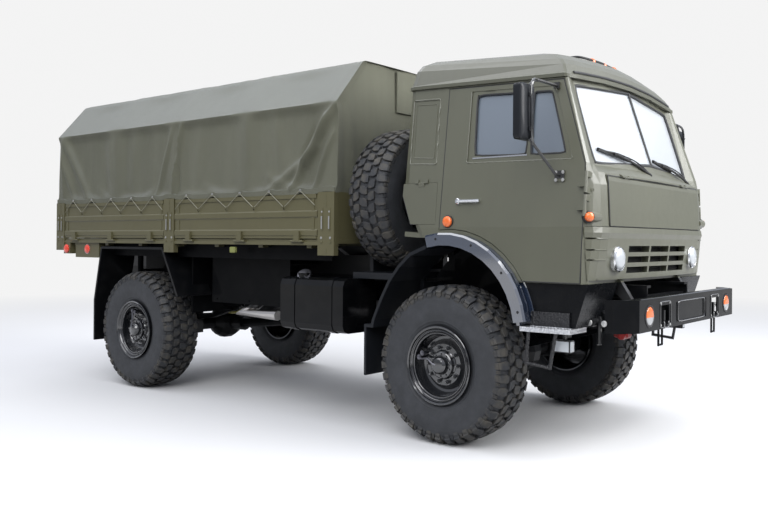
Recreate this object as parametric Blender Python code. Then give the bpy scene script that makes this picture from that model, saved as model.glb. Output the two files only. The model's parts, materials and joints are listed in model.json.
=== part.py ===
"""All-wheel-drive military cargo truck: tilting cab over the engine, drop-side body under a stretched tarp.

Every solid is drawn in station coordinates: metres, X forward from the front axle, Y to the truck's left,
Z up from the ground. The empty "truck" then moves the whole model so that its middle stands at the origin.
"""

import math

import bmesh
import bpy
from mathutils import Matrix, Vector

SIDES = ((-1, "right"), (1, "left"))
SEAT_GAP = 0.0003  # between pieces that touch
PANEL_GAP = 0.006  # round a panel that swings
FLATNESS = 1e-6

# Wheels and axles
WHEELBASE = 4.18
TYRE_DIAMETER = 1.26
TYRE_WIDTH = 0.42
WHEEL_TRACK = 2.07
RIM_RADIUS = 0.27
RIM_FLANGE = 0.292
RIM_FACETS = 16
LUG_DEPTH = 0.022
LUG_SHARE = 0.5  # of the pitch that a tread lug takes
LUG_SLOPE = 0.08  # of the pitch over which its ends rise
HUB_RADIUS = 0.105
HUB_INNER = -0.03  # inner end of the hub, from the middle of the wheel
KINGPIN_Y = 0.90
AXLE_Z = TYRE_DIAMETER / 2
AXLE_RADIUS = 0.075
DIFF_RADIUS = 0.19
SPRING_Y = 0.445
SPRING_WIDTH = 0.08
SPRING_HALF_LENGTH = 0.74
SPRING_RISE = 0.11
SPRING_THICKNESS = 0.055
KNUCKLE_BALL = 0.085  # radius of the round end of the front axle inside each knuckle
KNUCKLE_FLAT = 0.072  # height of the flats above and below it that the knuckle's yoke bears on
TIE_ROD_X = -0.27
TIE_ROD_DROP = 0.10
TIE_ROD_RADIUS = 0.022

# Ladder frame
FRAME_FRONT = 1.40
FRAME_REAR = -5.62
FRAME_BOTTOM = 1.03
FRAME_TOP = 1.28
FRAME_WEB_Y = 0.435
FRAME_FLANGE = 0.075
FRAME_SHEET = 0.018

# Front bumper
BUMPER_FRONT = 1.595
BUMPER_BOTTOM = 0.976
BUMPER_TOP = 1.207
BUMPER_HALF_WIDTH = 1.025
BUMPER_END_Y = 1.17
BUMPER_END_X = 1.46
BUMPER_DEPTH = 0.10
BUMPER_SHEET = 0.012
BUMPER_LAMP = (0.847, 1.086)
BUMPER_HOOK_Y = (0.455, 0.645)
BUMPER_HOOK_Z = (0.995, 1.170)
BUMPER_RECESS = 0.006
TOW_EYES = (-0.55, 0.62)

# Cab
CAB_WALL = 0.05
CAB_FRONT_WALL = 1.238  # outer face of the wall behind the lid and the grille
CAB_HALF_WIDTH = 1.17
CAB_LEAN = 0.1184  # inward slope of the cab's sides above their crease
CREASE_Z = 1.72
CAB_FLOOR_Z = 1.31
CAB_REAR_Z = 1.64
GUTTER_REAR = (-0.48, 2.878)
GUTTER_FRONT = (1.01, 2.832)
GUTTER_CROWN = 0.045  # rise of the seam from the front corners to the middle
GUTTER_CORNER_Y = 0.985
REAR_CORNER = 0.08
TILT_PIVOT = (1.36, 1.14)
ARCH_CENTRE = (0.05, 0.92)
ARCH_OUTER = 0.76
ARCH_INNER = 0.66
ARCH_LINER = 0.70
ARCH_OUT_Y = 1.25
DOOR_ARCH = 0.79
DOOR_HINGE_X = 1.240
DOOR_HINGE_Z = 2.0
DOOR_HINGE_OUT = 0.018  # from the door's skin out to its hinge line, which leans as the skin does
DOOR_HINGE_HEIGHTS = (1.87, 2.04)
DOOR_REAR = -0.047
LID_HINGE = (1.310, 2.103)
LID_EYE = 0.006
DOOR_EYE = 0.014
FLAP_EYE = 0.005
TUNNEL_HALF_WIDTH = 0.42
TUNNEL_TOP = 1.70
TUNNEL_FRONT = 0.95

# Cargo body
BODY_FRONT = -1.136
BODY_REAR = -5.789
BODY_HALF_WIDTH = 1.249
RAIL_BOTTOM = 1.569
FLOOR_TOP = 1.62
LOAD_TOP = 1.624  # planking between the feet of the bows
LOAD_HALF_WIDTH = 1.12
BOARD_TOP = 2.028
POST_TOP = 2.040
BOARD_THICKNESS = 0.03
BOARD_HINGE_Z = 1.604
BOARD_HINGE_Y = 1.256
GATE_HINGE_X = -5.796
BOARD_EYE = 0.011
BOARD_EYE_WIDTH = 0.07
EDGE_SETBACK = 0.009  # floor edge behind the posts' faces, so that the boards' hinges turn clear of it
TARP_EAVE = (1.235, 2.84)
TARP_TOP = (0.885, 3.256)
TARP_WALL = 0.02

# Spare wheel behind the cab
SPARE_X = -0.81
SPARE_Y = -0.61
SPARE_Z = 1.99

# Fuel tank
TANK_X = (-1.82, -1.03)
TANK_Y = (0.81, 1.245)
TANK_Z = (0.80, 1.28)

FRONT_END = BUMPER_FRONT
REAR_END = GATE_HINGE_X - BOARD_EYE

# Each finish: colour, roughness, metallic
FINISHES = {
    "cab_paint": ((0.072, 0.080, 0.045), 0.45, 0.0),
    "body_paint": ((0.085, 0.083, 0.040), 0.5, 0.0),
    "canvas": ((0.090, 0.092, 0.062), 0.85, 0.0),
    "black_paint": ((0.012, 0.012, 0.013), 0.4, 0.0),
    "tyre_rubber": ((0.022, 0.022, 0.023), 0.8, 0.0),
    "glass": ((0.10, 0.12, 0.13), 0.05, 0.0),
    "bright_metal": ((0.55, 0.56, 0.57), 0.35, 1.0),
    "lamp_glass": ((0.70, 0.72, 0.72), 0.1, 0.0),
    "trim": ((0.03, 0.03, 0.032), 0.6, 0.0),
}


def arc(centre, radius, start, end, steps):
    """Points on a round stretch, from one angle to another in degrees."""
    turns = [math.radians(start + (end - start) * i / steps) for i in range(steps + 1)]
    return [(centre[0] + radius * math.cos(t), centre[1] + radius * math.sin(t)) for t in turns]


def rounded_rectangle(low, high, radius, steps=2):
    """The outline of a rectangle whose four corners are round."""
    corners = (
        ((high[0] - radius, high[1] - radius), 0),
        ((low[0] + radius, high[1] - radius), 90),
        ((low[0] + radius, low[1] + radius), 180),
        ((high[0] - radius, low[1] + radius), 270),
    )
    return [p for centre, angle in corners for p in arc(centre, radius, angle, angle + 90, steps)]


def place(axis, u, v, along):
    """A point from its two coordinates across an axis and the one along it."""
    return {"x": (along, u, v), "y": (u, along, v), "z": (u, v, along)}[axis]


def flat(face):
    return all(abs((v.co - face.verts[0].co).dot(face.normal)) < FLATNESS for v in face.verts)


def finished(bm):
    """A mesh with its faces turned outwards, twisted ones split, and its round stretches shaded smooth."""
    bm.normal_update()
    bmesh.ops.triangulate(bm, faces=[face for face in bm.faces if not flat(face)])
    bmesh.ops.recalc_face_normals(bm, faces=bm.faces)
    mesh = bpy.data.meshes.new("shape")
    bm.to_mesh(mesh)
    bm.free()
    mesh.shade_smooth()
    mesh.set_sharp_from_angle(angle=math.radians(32))
    return mesh


def loft(rings, closed=False):
    """A solid through rings of equally many points, capped at its two ends or joined round."""
    bm = bmesh.new()
    rows = [[bm.verts.new(p) for p in ring] for ring in rings]
    if not closed:
        bm.faces.new(rows[0])
        bm.faces.new(rows[-1])
    for low, high in zip(rows, rows[1:] + rows[:1] if closed else rows[1:]):
        for i in range(len(low)):
            j = (i + 1) % len(low)
            bm.faces.new((low[i], low[j], high[j], high[i]))
    return finished(bm)


def prism(axis, outline, low, high):
    return loft([[place(axis, u, v, end) for u, v in outline] for end in (low, high)])


def box(x, y, z):
    return prism("z", ((x[0], y[0]), (x[1], y[0]), (x[1], y[1]), (x[0], y[1])), z[0], z[1])


def turned(axis, profile, centre, segments=24):
    """A solid turned from (place along the axis, radius) pairs; a profile off the axis closes on itself."""
    bm = bmesh.new()
    rings = []
    for along, radius in profile:
        if radius == 0:
            rings.append([bm.verts.new(place(axis, centre[0], centre[1], along))] * segments)
        else:
            around = arc(centre, radius, 0, 360, segments)[:-1]
            rings.append([bm.verts.new(place(axis, u, v, along)) for u, v in around])
    for low, high in zip(rings, rings[1:] + (rings[:1] if profile[0][1] else [])):
        for i in range(segments):
            j = (i + 1) % segments
            corners = list(dict.fromkeys((low[i], low[j], high[j], high[i])))
            if len(corners) > 2:
                bm.faces.new(corners)
    return finished(bm)


def rod(axis, centre, low, high, radius, segments=16):
    return turned(axis, ((low, 0), (low, radius), (high, radius), (high, 0)), centre, segments)


def tube(points, radius, sides=8, closed=False):
    """A round bar that follows the points, mitred where it turns."""
    path = [Vector(p) for p in points]
    count = len(path)
    rings = []
    across = None
    for i, here in enumerate(path):
        before = path[i - 1] if i or closed else None
        after = path[(i + 1) % count] if i + 1 < count or closed else None
        way_in = (here - before).normalized() if before is not None else (after - here).normalized()
        way_out = (after - here).normalized() if after is not None else way_in
        along = (way_in + way_out).normalized()
        if across is None:
            across = along.orthogonal().normalized()
        across = (across - across.dot(along) * along).normalized()
        stretch = 1 / max(0.5, along.dot(way_in))
        bend = (way_out - way_in)
        bend = bend.normalized() if bend.length > 1e-6 else None
        other = along.cross(across)
        ring = []
        for k in range(sides):
            turn = 2 * math.pi * k / sides
            offset = radius * (math.cos(turn) * across + math.sin(turn) * other)
            if bend is not None:
                offset += (stretch - 1) * offset.dot(bend) * bend
            ring.append(here + offset)
        rings.append(ring)
    return loft(rings, closed)


def swept(profile, centre, start, end, steps):
    """A solid whose (radius, Y) profile is carried round an arc in the XZ plane."""
    rings = []
    for i in range(steps + 1):
        turn = math.radians(start + (end - start) * i / steps)
        rings.append([
            (centre[0] + r * math.cos(turn), y, centre[1] + r * math.sin(turn)) for r, y in profile
        ])
    return loft(rings)


def mirrored(y_low, y_high, side):
    """A span of Y given for the left, on the side asked for."""
    return tuple(sorted((side * y_low, side * y_high)))


def start_scene():
    """Clears the startup objects and makes the finishes and the folder of hidden helper shapes."""
    for obj in list(bpy.data.objects):
        bpy.data.objects.remove(obj)
    for name, (colour, roughness, metallic) in FINISHES.items():
        material = bpy.data.materials.new(name)
        material.use_nodes = True
        shader = material.node_tree.nodes["Principled BSDF"]
        shader.inputs["Base Color"].default_value = (*colour, 1)
        shader.inputs["Roughness"].default_value = roughness
        shader.inputs["Metallic"].default_value = metallic
        material.diffuse_color = (*colour, 1)
    helpers = bpy.data.collections.new("helpers")
    bpy.context.scene.collection.children.link(helpers)


def pivot(name, station, parent=None):
    """An empty on a joint's axis, at a place given in station coordinates."""
    empty = bpy.data.objects.new(name, None)
    empty.empty_display_size = 0.2
    empty["station"] = station
    if parent is None:
        empty.location = (-(FRONT_END + REAR_END) / 2, 0, 0)
        empty["station"] = (0, 0, 0)
    else:
        empty.parent = parent
        empty.location = Vector(station) - Vector(parent["station"])
    bpy.context.scene.collection.objects.link(empty)
    return empty


def combine(obj, operation, shapes):
    """Adds a Boolean modifier for each helper shape, which joins it to the piece or cuts it out."""
    for mesh in shapes:
        helper = bpy.data.objects.new(f"{obj.name}_{operation.lower()}", mesh)
        helper.parent = obj.parent
        helper.location = obj.location
        helper.hide_render = True
        helper.display_type = "WIRE"
        bpy.data.collections["helpers"].objects.link(helper)
        boolean = obj.modifiers.new(operation.lower(), "BOOLEAN")
        boolean.operation = operation
        boolean.solver = "EXACT"
        boolean.object = helper


def piece(name, finish, parent, shapes, cuts=(), within=(), after=()):
    """One sub-part: shapes joined into a solid, kept within others, cut, and joined with what follows."""
    obj = bpy.data.objects.new(name, shapes[0])
    obj.data.name = name
    obj.data.materials.append(bpy.data.materials[finish])
    obj.parent = parent
    obj.location = -Vector(parent["station"])
    bpy.context.scene.collection.objects.link(obj)
    for operation, others in (
        ("UNION", shapes[1:]), ("INTERSECT", within), ("DIFFERENCE", cuts), ("UNION", after)
    ):
        if others:
            combine(obj, operation, others)
    return obj


def facing(degrees, side):
    """An angle given for the left side, turned over for the right one."""
    return degrees if side > 0 else 180 - degrees


def hinge_spans(middles, width):
    """Where the barrels of each hinge lie along its line: the moving ones, and the fixed ones beside them."""
    moving = [(m - width / 2, m + width / 2) for m in middles]
    gap = width / 2 + SEAT_GAP * 1.5
    fixed = [sorted((m + way * gap, m + way * (gap + width * 0.6))) for m in middles for way in (-1, 1)]
    return moving, fixed


def hinge_eyes(axis, centre, radius, toward, reach, spans):
    """Hinge leaves: a round end on the hinge line and a flat root that runs off at an angle in degrees."""
    end = arc(centre, radius, toward + 90, toward + 270, 4)
    turn = math.radians(toward)
    away = (reach * math.cos(turn), reach * math.sin(turn))
    outline = end + [(end[-1][0] + away[0], end[-1][1] + away[1]), (end[0][0] + away[0], end[0][1] + away[1])]
    return [prism(axis, outline, low, high) for low, high in spans]


# Frame, axles and running gear


def spring_pack(side, axle_x, top):
    """A leaf pack curved upwards to its two ends, seated on the axle beam."""
    y = mirrored(SPRING_Y - SPRING_WIDTH / 2, SPRING_Y + SPRING_WIDTH / 2, side)
    steps = 4
    lower = []
    upper = []
    for i in range(steps + 1):
        share = -1 + 2 * i / steps
        x = axle_x + share * SPRING_HALF_LENGTH
        base = top + SPRING_RISE * share * share
        thickness = SPRING_THICKNESS * (1.35 - 0.8 * abs(share))
        upper.append((x, base + SPRING_THICKNESS))
        lower.append((x, base + SPRING_THICKNESS - thickness))
    return prism("y", lower + upper[::-1], y[0], y[1])


def spring_top_at(share):
    """Height of the spring's upper face at a share of its half length."""
    return AXLE_Z + AXLE_RADIUS - 0.005 + SPRING_RISE * share * share + SPRING_THICKNESS


def knuckle_ball(side, radius, flat_height):
    """A ball on the kingpin's line with a flat at its top and bottom."""
    reach = math.degrees(math.asin(flat_height / radius))
    profile = [(AXLE_Z + z, r) for r, z in arc((0, 0), radius, -reach, reach, 4)]
    profile = [(profile[0][0], 0)] + profile + [(profile[-1][0], 0)]
    return turned("z", profile, (0, side * KINGPIN_Y), 16)


def build_axle(name, truck, axle_x, beam_half, nose):
    """Beam, differential housing with its nose towards the propeller shaft, and both spring packs."""
    shapes = [rod("y", (axle_x, AXLE_Z), -beam_half, beam_half, AXLE_RADIUS, 12)]
    if axle_x == 0:
        neck = KINGPIN_Y - 0.023
        shapes.append(rod("y", (0, AXLE_Z), -neck, neck, 0.058, 10))
        shapes += [knuckle_ball(side, KNUCKLE_BALL, KNUCKLE_FLAT) for side, _ in SIDES]
    profile = (
        (-0.20, 0), (-0.20, 0.08), (-0.13, 0.15), (-0.05, DIFF_RADIUS),
        (0.05, DIFF_RADIUS), (0.13, 0.15), (0.20, 0.08), (0.20, 0),
    )
    shapes.append(turned("y", profile, (axle_x, AXLE_Z), 14))
    reach = sorted((axle_x + nose * 0.05, axle_x + nose * 0.36))
    shapes.append(rod("x", (0, AXLE_Z), reach[0], reach[1], 0.085, 12))
    for side, _ in SIDES:
        shapes.append(spring_pack(side, axle_x, AXLE_Z + AXLE_RADIUS - 0.005))
        y = mirrored(SPRING_Y - SPRING_WIDTH / 2 - 0.012, SPRING_Y + SPRING_WIDTH / 2 + 0.012, side)
        seat = (axle_x - 0.09, axle_x + 0.09)
        shapes.append(box(seat, y, (AXLE_Z - AXLE_RADIUS - 0.02, AXLE_Z + AXLE_RADIUS + 0.075)))
    return piece(name, "black_paint", truck, shapes)


def build_frame(truck):
    shapes = []
    web = FRAME_WEB_Y
    for side, _ in SIDES:
        channel = (
            (web, FRAME_BOTTOM), (web, FRAME_TOP), (web - FRAME_FLANGE, FRAME_TOP),
            (web - FRAME_FLANGE, FRAME_TOP - FRAME_SHEET), (web - FRAME_SHEET, FRAME_TOP - FRAME_SHEET),
            (web - FRAME_SHEET, FRAME_BOTTOM + FRAME_SHEET),
            (web - FRAME_FLANGE, FRAME_BOTTOM + FRAME_SHEET), (web - FRAME_FLANGE, FRAME_BOTTOM),
        )
        shapes.append(prism("x", [(side * y, z) for y, z in channel], FRAME_REAR, FRAME_FRONT))
        for axle_x in (0, -WHEELBASE):
            for way in (-1, 1):
                x = axle_x + way * (SPRING_HALF_LENGTH - 0.035)
                low = spring_top_at(1) + SEAT_GAP
                y = mirrored(SPRING_Y - 0.06, SPRING_Y + 0.06, side)
                shapes.append(box((x - 0.05, x + 0.05), y, (low, FRAME_BOTTOM + 0.03)))
        tilt_y = mirrored(web - 0.01, 0.555, side)
        shapes.append(box((TILT_PIVOT[0] - 0.045, TILT_PIVOT[0] + 0.035), tilt_y, (1.06, 1.105)))
        pin_y = mirrored(0.50, 0.56, side)
        shapes.append(box((TILT_PIVOT[0] - 0.03, TILT_PIVOT[0] + 0.03), pin_y, (1.08, 1.14)))
        shapes.append(rod("y", TILT_PIVOT, *mirrored(0.50, 0.56, side), 0.035, 14))
        post_y = mirrored(web - 0.07, web - 0.002, side)
        shapes.append(box((-0.50, -0.44), post_y, (FRAME_TOP - 0.03, 1.55)))
    shapes.append(box((-0.51, -0.43), (-0.55, 0.55), (1.545, 1.60)))
    inner = web - FRAME_SHEET + 0.008
    # Cross members: middle x, length along x, bottom, top
    members = (
        (1.34, 0.06, 1.05, 1.20), (-1.16, 0.10, 1.125, 1.26), (-2.55, 0.10, 1.05, 1.25),
        (-3.30, 0.10, 1.07, 1.26), (-4.95, 0.10, 1.05, 1.26), (-5.58, 0.07, 1.04, 1.27),
    )
    for x, length, low, high in members:
        shapes.append(box((x - length / 2, x + length / 2), (-inner, inner), (low, high)))
    hitch = ((-5.60, 0), (-5.60, 0.075), (-5.70, 0.06), (-5.76, 0.05), (-5.76, 0))
    shapes.append(turned("x", hitch, (0, 1.15), 16))
    shapes.append(box((-5.66, -5.60), (-0.20, 0.20), (1.05, 1.25)))
    piece("frame", "black_paint", truck, shapes)


def build_front_bumper(truck):
    plate = [
        (BUMPER_FRONT, -BUMPER_HALF_WIDTH), (BUMPER_FRONT, BUMPER_HALF_WIDTH),
        (BUMPER_END_X, BUMPER_END_Y), (BUMPER_END_X - 0.06, BUMPER_END_Y),
        (BUMPER_FRONT - BUMPER_DEPTH, BUMPER_HALF_WIDTH - 0.03),
        (BUMPER_FRONT - BUMPER_DEPTH, -BUMPER_HALF_WIDTH + 0.03),
        (BUMPER_END_X - 0.06, -BUMPER_END_Y), (BUMPER_END_X, -BUMPER_END_Y),
    ]
    sheet = BUMPER_SHEET
    hollow = [
        (BUMPER_FRONT - sheet, -BUMPER_HALF_WIDTH + 0.01), (BUMPER_FRONT - sheet, BUMPER_HALF_WIDTH - 0.01),
        (BUMPER_END_X - 0.005, BUMPER_END_Y - 0.02), (BUMPER_END_X - 0.2, BUMPER_END_Y - 0.02),
        (BUMPER_END_X - 0.2, -BUMPER_END_Y + 0.02), (BUMPER_END_X - 0.005, -BUMPER_END_Y + 0.02),
    ]
    cuts = [prism("z", hollow, BUMPER_BOTTOM + sheet, BUMPER_TOP - sheet)]
    recess = (BUMPER_FRONT - BUMPER_RECESS, BUMPER_FRONT + 0.1)
    cuts.append(box(recess, (-0.34, 0.34), (BUMPER_HOOK_Z[0] + 0.01, BUMPER_HOOK_Z[1] - 0.01)))
    after = []
    for side, _ in SIDES:
        lamp = (side * BUMPER_LAMP[0], BUMPER_LAMP[1])
        cuts.append(rod("x", lamp, *recess, 0.085, 14))
        after.append(rod("x", lamp, BUMPER_FRONT - sheet + 0.002, BUMPER_FRONT, 0.068, 14))
        hole = mirrored(BUMPER_HOOK_Y[0] + 0.02, BUMPER_HOOK_Y[1] - 0.02, side)
        low, high = BUMPER_HOOK_Z
        cuts.append(box((BUMPER_FRONT - 2 * sheet, BUMPER_FRONT + 0.1), hole, (low + 0.02, high - 0.02)))
        middle = side * sum(BUMPER_HOOK_Y) / 2
        tongue = (middle - 0.015, middle + 0.015)
        after.append(box((BUMPER_FRONT - 0.09, BUMPER_FRONT - 0.006), tongue, (low - 0.01, high - 0.06)))
    for y in TOW_EYES:
        x = BUMPER_FRONT - 0.04
        low = BUMPER_BOTTOM - 0.125
        eye = [(x, y - 0.035, BUMPER_BOTTOM + 0.006), (x, y - 0.035, low), (x, y + 0.035, low),
               (x, y + 0.035, BUMPER_BOTTOM + 0.006)]
        after.append(tube(eye, 0.009, 6))
    for side, _ in SIDES:
        arm = mirrored(0.36, 0.43, side)
        after.append(box((FRAME_FRONT + SEAT_GAP, BUMPER_FRONT - sheet + 0.004), arm, (1.0, 1.195)))
    beam = prism("z", plate, BUMPER_BOTTOM, BUMPER_TOP)
    piece("front_bumper", "black_paint", truck, [beam], cuts, after=after)


def build_powertrain(truck):
    """Engine as a plain block at its real place, with gearbox, transfer case and shafts behind it."""
    block = [(-0.27, 0.92), (0.27, 0.92), (0.335, 1.15), (0.335, 1.52), (0.20, 1.60), (-0.20, 1.60),
             (-0.335, 1.52), (-0.335, 1.15)]
    shapes = [prism("x", block, -0.35, 0.78)]
    gearbox = ((-0.98, 0), (-0.98, 0.13), (-0.62, 0.15), (-0.34, 0.24), (-0.30, 0.24), (-0.30, 0))
    shapes.append(turned("x", gearbox, (0, 1.12), 16))
    shapes.append(rod("x", (0, 1.06), -1.36, -0.95, 0.045, 12))
    case = rounded_rectangle((-0.20, 0.74), (0.20, 1.16), 0.08)
    shapes.append(prism("x", case, -1.72, -1.32))
    front_nose = -0.36 - SEAT_GAP
    rear_nose = -WHEELBASE + 0.36 + SEAT_GAP
    shapes.append(tube([(-1.40, 0, 0.86), (front_nose - 0.02, 0, AXLE_Z), (front_nose, 0, AXLE_Z)], 0.05, 10))
    shapes.append(tube([(-1.60, 0, 0.86), (rear_nose + 0.02, 0, AXLE_Z), (rear_nose, 0, AXLE_Z)], 0.055, 10))
    piece("powertrain", "black_paint", truck, shapes)


def tyre_section(first_raised):
    """Cross section of the tyre as (Y, radius) pairs, with a tread lug on one side of its middle."""
    outer = TYRE_DIAMETER / 2
    half = TYRE_WIDTH / 2
    shape = []
    for raised in (first_raised, not first_raised):
        drop, narrow = (0, 0) if raised else (LUG_DEPTH, LUG_DEPTH / 2)
        shape.append([
            (half - 0.052, RIM_RADIUS + SEAT_GAP), (half - 0.003, 0.43),
            (half - 0.015 - narrow, outer - 0.05), (half - 0.045, outer - drop),
        ])
    return shape[0] + [(0, outer)] + [(-y, r) for y, r in reversed(shape[1])]


def lugged_tyre(axis, centre, middle):
    """Tyre whose lugs alternate from side to side, one pair for each facet of the rim that it sits on."""
    rings = []
    for i in range(RIM_FACETS):
        for share, raised in (
            (0, True), (LUG_SHARE - LUG_SLOPE, True), (LUG_SHARE, False), (1 - LUG_SLOPE, False)
        ):
            turn = 2 * math.pi * (i + share) / RIM_FACETS
            across, up = math.cos(turn), math.sin(turn)
            rings.append([
                place(axis, centre[0] + r * across, centre[1] + r * up, middle + y)
                for y, r in tyre_section(raised)
            ])
    return loft(rings, closed=True)


def rim_profile(middle, side):
    """Rim and hub as one turned solid, dished so that the hub stands near the outer face."""
    half = TYRE_WIDTH / 2
    shape = [
        (HUB_INNER, 0), (HUB_INNER, 0.080), (0.060, 0.095), (0.085, 0.235), (0.035, 0.252),
        (-half + 0.024, 0.252), (-half + 0.005, RIM_FLANGE), (-half + 0.022, RIM_RADIUS),
        (half - 0.022, RIM_RADIUS),
        (half - 0.005, RIM_FLANGE), (half - 0.024, 0.252), (0.110, 0.245), (0.105, 0.130),
        (0.130, HUB_RADIUS), (0.180, HUB_RADIUS), (0.190, 0),
    ]
    return [(middle + side * y, r) for y, r in shape]


def build_wheels(truck, knuckles):
    for end, axle_x in (("front", 0.0), ("rear", -WHEELBASE)):
        for side, which in SIDES:
            middle = side * WHEEL_TRACK / 2
            carrier = knuckles[which] if end == "front" else truck
            wheel = pivot(f"wheel_{end}_{which}", (axle_x, middle, AXLE_Z), carrier)
            centre = (axle_x, AXLE_Z)
            piece(f"tyre_{end}_{which}", "tyre_rubber", wheel, [lugged_tyre("y", centre, middle)])
            rim = turned("y", rim_profile(middle, side), centre, RIM_FACETS)
            piece(f"rim_{end}_{which}", "black_paint", wheel, [rim])


def build_steering(truck):
    """Front axle, a knuckle on each kingpin and the tie rod behind the axle."""
    build_axle("front_axle", truck, 0.0, KINGPIN_Y - 0.06, -1)
    build_axle("rear_axle", truck, -WHEELBASE, WHEEL_TRACK / 2 + HUB_INNER - SEAT_GAP, 1)
    knuckles = {}
    arm_z = AXLE_Z - TIE_ROD_DROP
    ball = (TIE_ROD_X, 0.77)
    for side, which in SIDES:
        carrier = pivot(f"steer_{which}", (0, side * KINGPIN_Y, AXLE_Z), truck)
        knuckles[which] = carrier
        hub_end = WHEEL_TRACK / 2 + HUB_INNER - SEAT_GAP
        shell = (
            (KINGPIN_Y + 0.02, 0), (KINGPIN_Y + 0.02, 0.12), (KINGPIN_Y + 0.03, 0.128),
            (hub_end - 0.05, 0.128), (hub_end - 0.032, 0.072), (hub_end, 0.072), (hub_end, 0),
        )
        shapes = [turned("y", [(side * y, r) for y, r in shell], (0, AXLE_Z), 14)]
        for way in (-1, 1):
            low, high = sorted((AXLE_Z + way * (KNUCKLE_FLAT + SEAT_GAP), AXLE_Z + way * 0.115))
            across = mirrored(KINGPIN_Y - 0.03, KINGPIN_Y + 0.04, side)
            shapes.append(box((-0.045, 0.045), across, (low, high)))
            low, high = sorted((AXLE_Z + way * 0.10, AXLE_Z + way * 0.145))
            shapes.append(rod("z", (0, side * KINGPIN_Y), low, high, 0.03, 8))
        socket = knuckle_ball(side, KNUCKLE_BALL * 1.03, KNUCKLE_FLAT)
        arm = ((0.04, 0.93), (-0.09, 0.90), (-0.17, 0.80), (ball[0] - 0.03, 0.80), (ball[0] - 0.03, 0.74),
               (-0.13, 0.74), (0.04, 0.875))
        shapes.append(prism("z", [(x, side * y) for x, y in arm], arm_z - 0.015, arm_z + 0.015))
        yoke = shapes[1:]
        piece(f"knuckle_{which}", "black_paint", carrier, shapes[:1], [socket], after=yoke)
    rod_body = pivot("tie_rod_left_end", (ball[0], ball[1], arm_z), knuckles["left"])
    low = arm_z - 0.015 - 0.0006
    shapes = [rod("y", (ball[0], low - 0.03), -ball[1] - 0.03, ball[1] + 0.03, TIE_ROD_RADIUS, 8)]
    for side, _ in SIDES:
        shapes.append(rod("z", (ball[0], side * ball[1]), low - 0.05, low, 0.026, 8))
    piece("tie_rod", "black_paint", rod_body, shapes)
    return knuckles


# Tanks, boxes, guards and the spare wheel


def build_chassis_fittings(truck):
    tank = rounded_rectangle((-TANK_Y[1], TANK_Z[0]), (-TANK_Y[0], TANK_Z[1]), 0.07)
    shapes = [prism("x", tank, TANK_X[0], TANK_X[1])]
    shapes.append(rod("z", (-1.62, -1.13), TANK_Z[1] - 0.02, TANK_Z[1] + 0.035, 0.06, 14))
    for x in (TANK_X[0] + 0.16, TANK_X[1] - 0.16):
        strap = rounded_rectangle(
            (-TANK_Y[1] - 0.006, TANK_Z[0] - 0.006), (-TANK_Y[0] + 0.006, TANK_Z[1] + 0.006), 0.075
        )
        shapes.append(prism("x", strap, x - 0.03, x + 0.03))
        shapes.append(box((x - 0.03, x + 0.03), (-TANK_Y[0] - 0.02, -FRAME_WEB_Y - SEAT_GAP), (1.06, 1.24)))
    piece("fuel_tank", "black_paint", truck, shapes)

    case = box((-1.95, -1.15), (0.62, 1.16), (0.86, 1.26))
    cover = box((-1.93, -1.17), (0.60, 1.175), (1.235, 1.30))
    shapes = [case, cover]
    for x in (-1.85, -1.25):
        shapes.append(box((x - 0.03, x + 0.03), (FRAME_WEB_Y + SEAT_GAP, 0.64), (1.06, 1.22)))
    piece("battery_box", "black_paint", truck, shapes)

    shapes = [rod("x", (0.74, 1.10), -3.30, -2.15, 0.12, 16)]
    for x in (-3.10, -2.35):
        shapes.append(box((x - 0.025, x + 0.025), (FRAME_WEB_Y + SEAT_GAP, 0.70), (1.06, 1.13)))
    piece("air_tank", "black_paint", truck, shapes)

    shapes = [rod("x", (-0.74, 1.12), -3.12, -2.42, 0.14, 18)]
    pipe = [(-2.50, -0.80, 1.05), (-2.60, -0.87, 0.95), (-2.76, -0.90, 0.87), (-2.24, -0.90, 0.87)]
    shapes.append(tube(pipe, 0.05, 10))
    for x in (-2.98, -2.56):
        shapes.append(box((x - 0.02, x + 0.02), (-0.68, -FRAME_WEB_Y - SEAT_GAP), (1.08, 1.20)))
    piece("exhaust", "bright_metal", truck, shapes)


def build_guards(truck):
    """Half arch with its flap behind each front wheel, and the trapezoid fender over each rear wheel."""
    for side, which in SIDES:
        outer = [(-0.125, 1.578), (-0.290, 1.516), (-0.408, 1.415), (-0.512, 1.292), (-0.602, 1.135),
                 (-0.688, 0.955), (-0.700, 0.910), (-0.775, 0.910), (-0.775, 0.480)]
        inner = [(-0.752, 0.480), (-0.752, 0.885), (-0.676, 0.885), (-0.662, 0.950), (-0.578, 1.124),
                 (-0.490, 1.277), (-0.389, 1.396), (-0.276, 1.492), (-0.118, 1.551)]
        shapes = [prism("y", outer + inner, *mirrored(0.80, ARCH_OUT_Y, side))]
        shapes.append(box((-0.50, -0.46), mirrored(FRAME_WEB_Y + SEAT_GAP, 0.84, side), (1.20, 1.26)))
        shapes.append(box((-0.50, -0.46), mirrored(0.80, 0.84, side), (1.20, 1.45)))
        piece(f"front_mudguard_{which}", "black_paint", truck, shapes)

        outer = [(-3.375, 1.03), (-3.650, 1.53), (-4.82, 1.53), (-4.96, 0.92), (-4.96, 0.46)]
        inner = [(-4.935, 0.46), (-4.935, 0.925), (-4.80, 1.505), (-3.668, 1.505), (-3.398, 1.02)]
        y = mirrored(0.82, BODY_HALF_WIDTH - 0.004, side)
        shapes = [prism("y", outer + inner, y[0], y[1])]
        for x in (-3.75, -4.65):
            reach = mirrored(FRAME_WEB_Y + SEAT_GAP, 0.86, side)
            shapes.append(box((x - 0.025, x + 0.025), reach, (1.22, 1.27)))
            shapes.append(box((x - 0.025, x + 0.025), mirrored(0.83, 0.87, side), (1.22, 1.52)))
        piece(f"rear_fender_{which}", "black_paint", truck, shapes)


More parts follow.
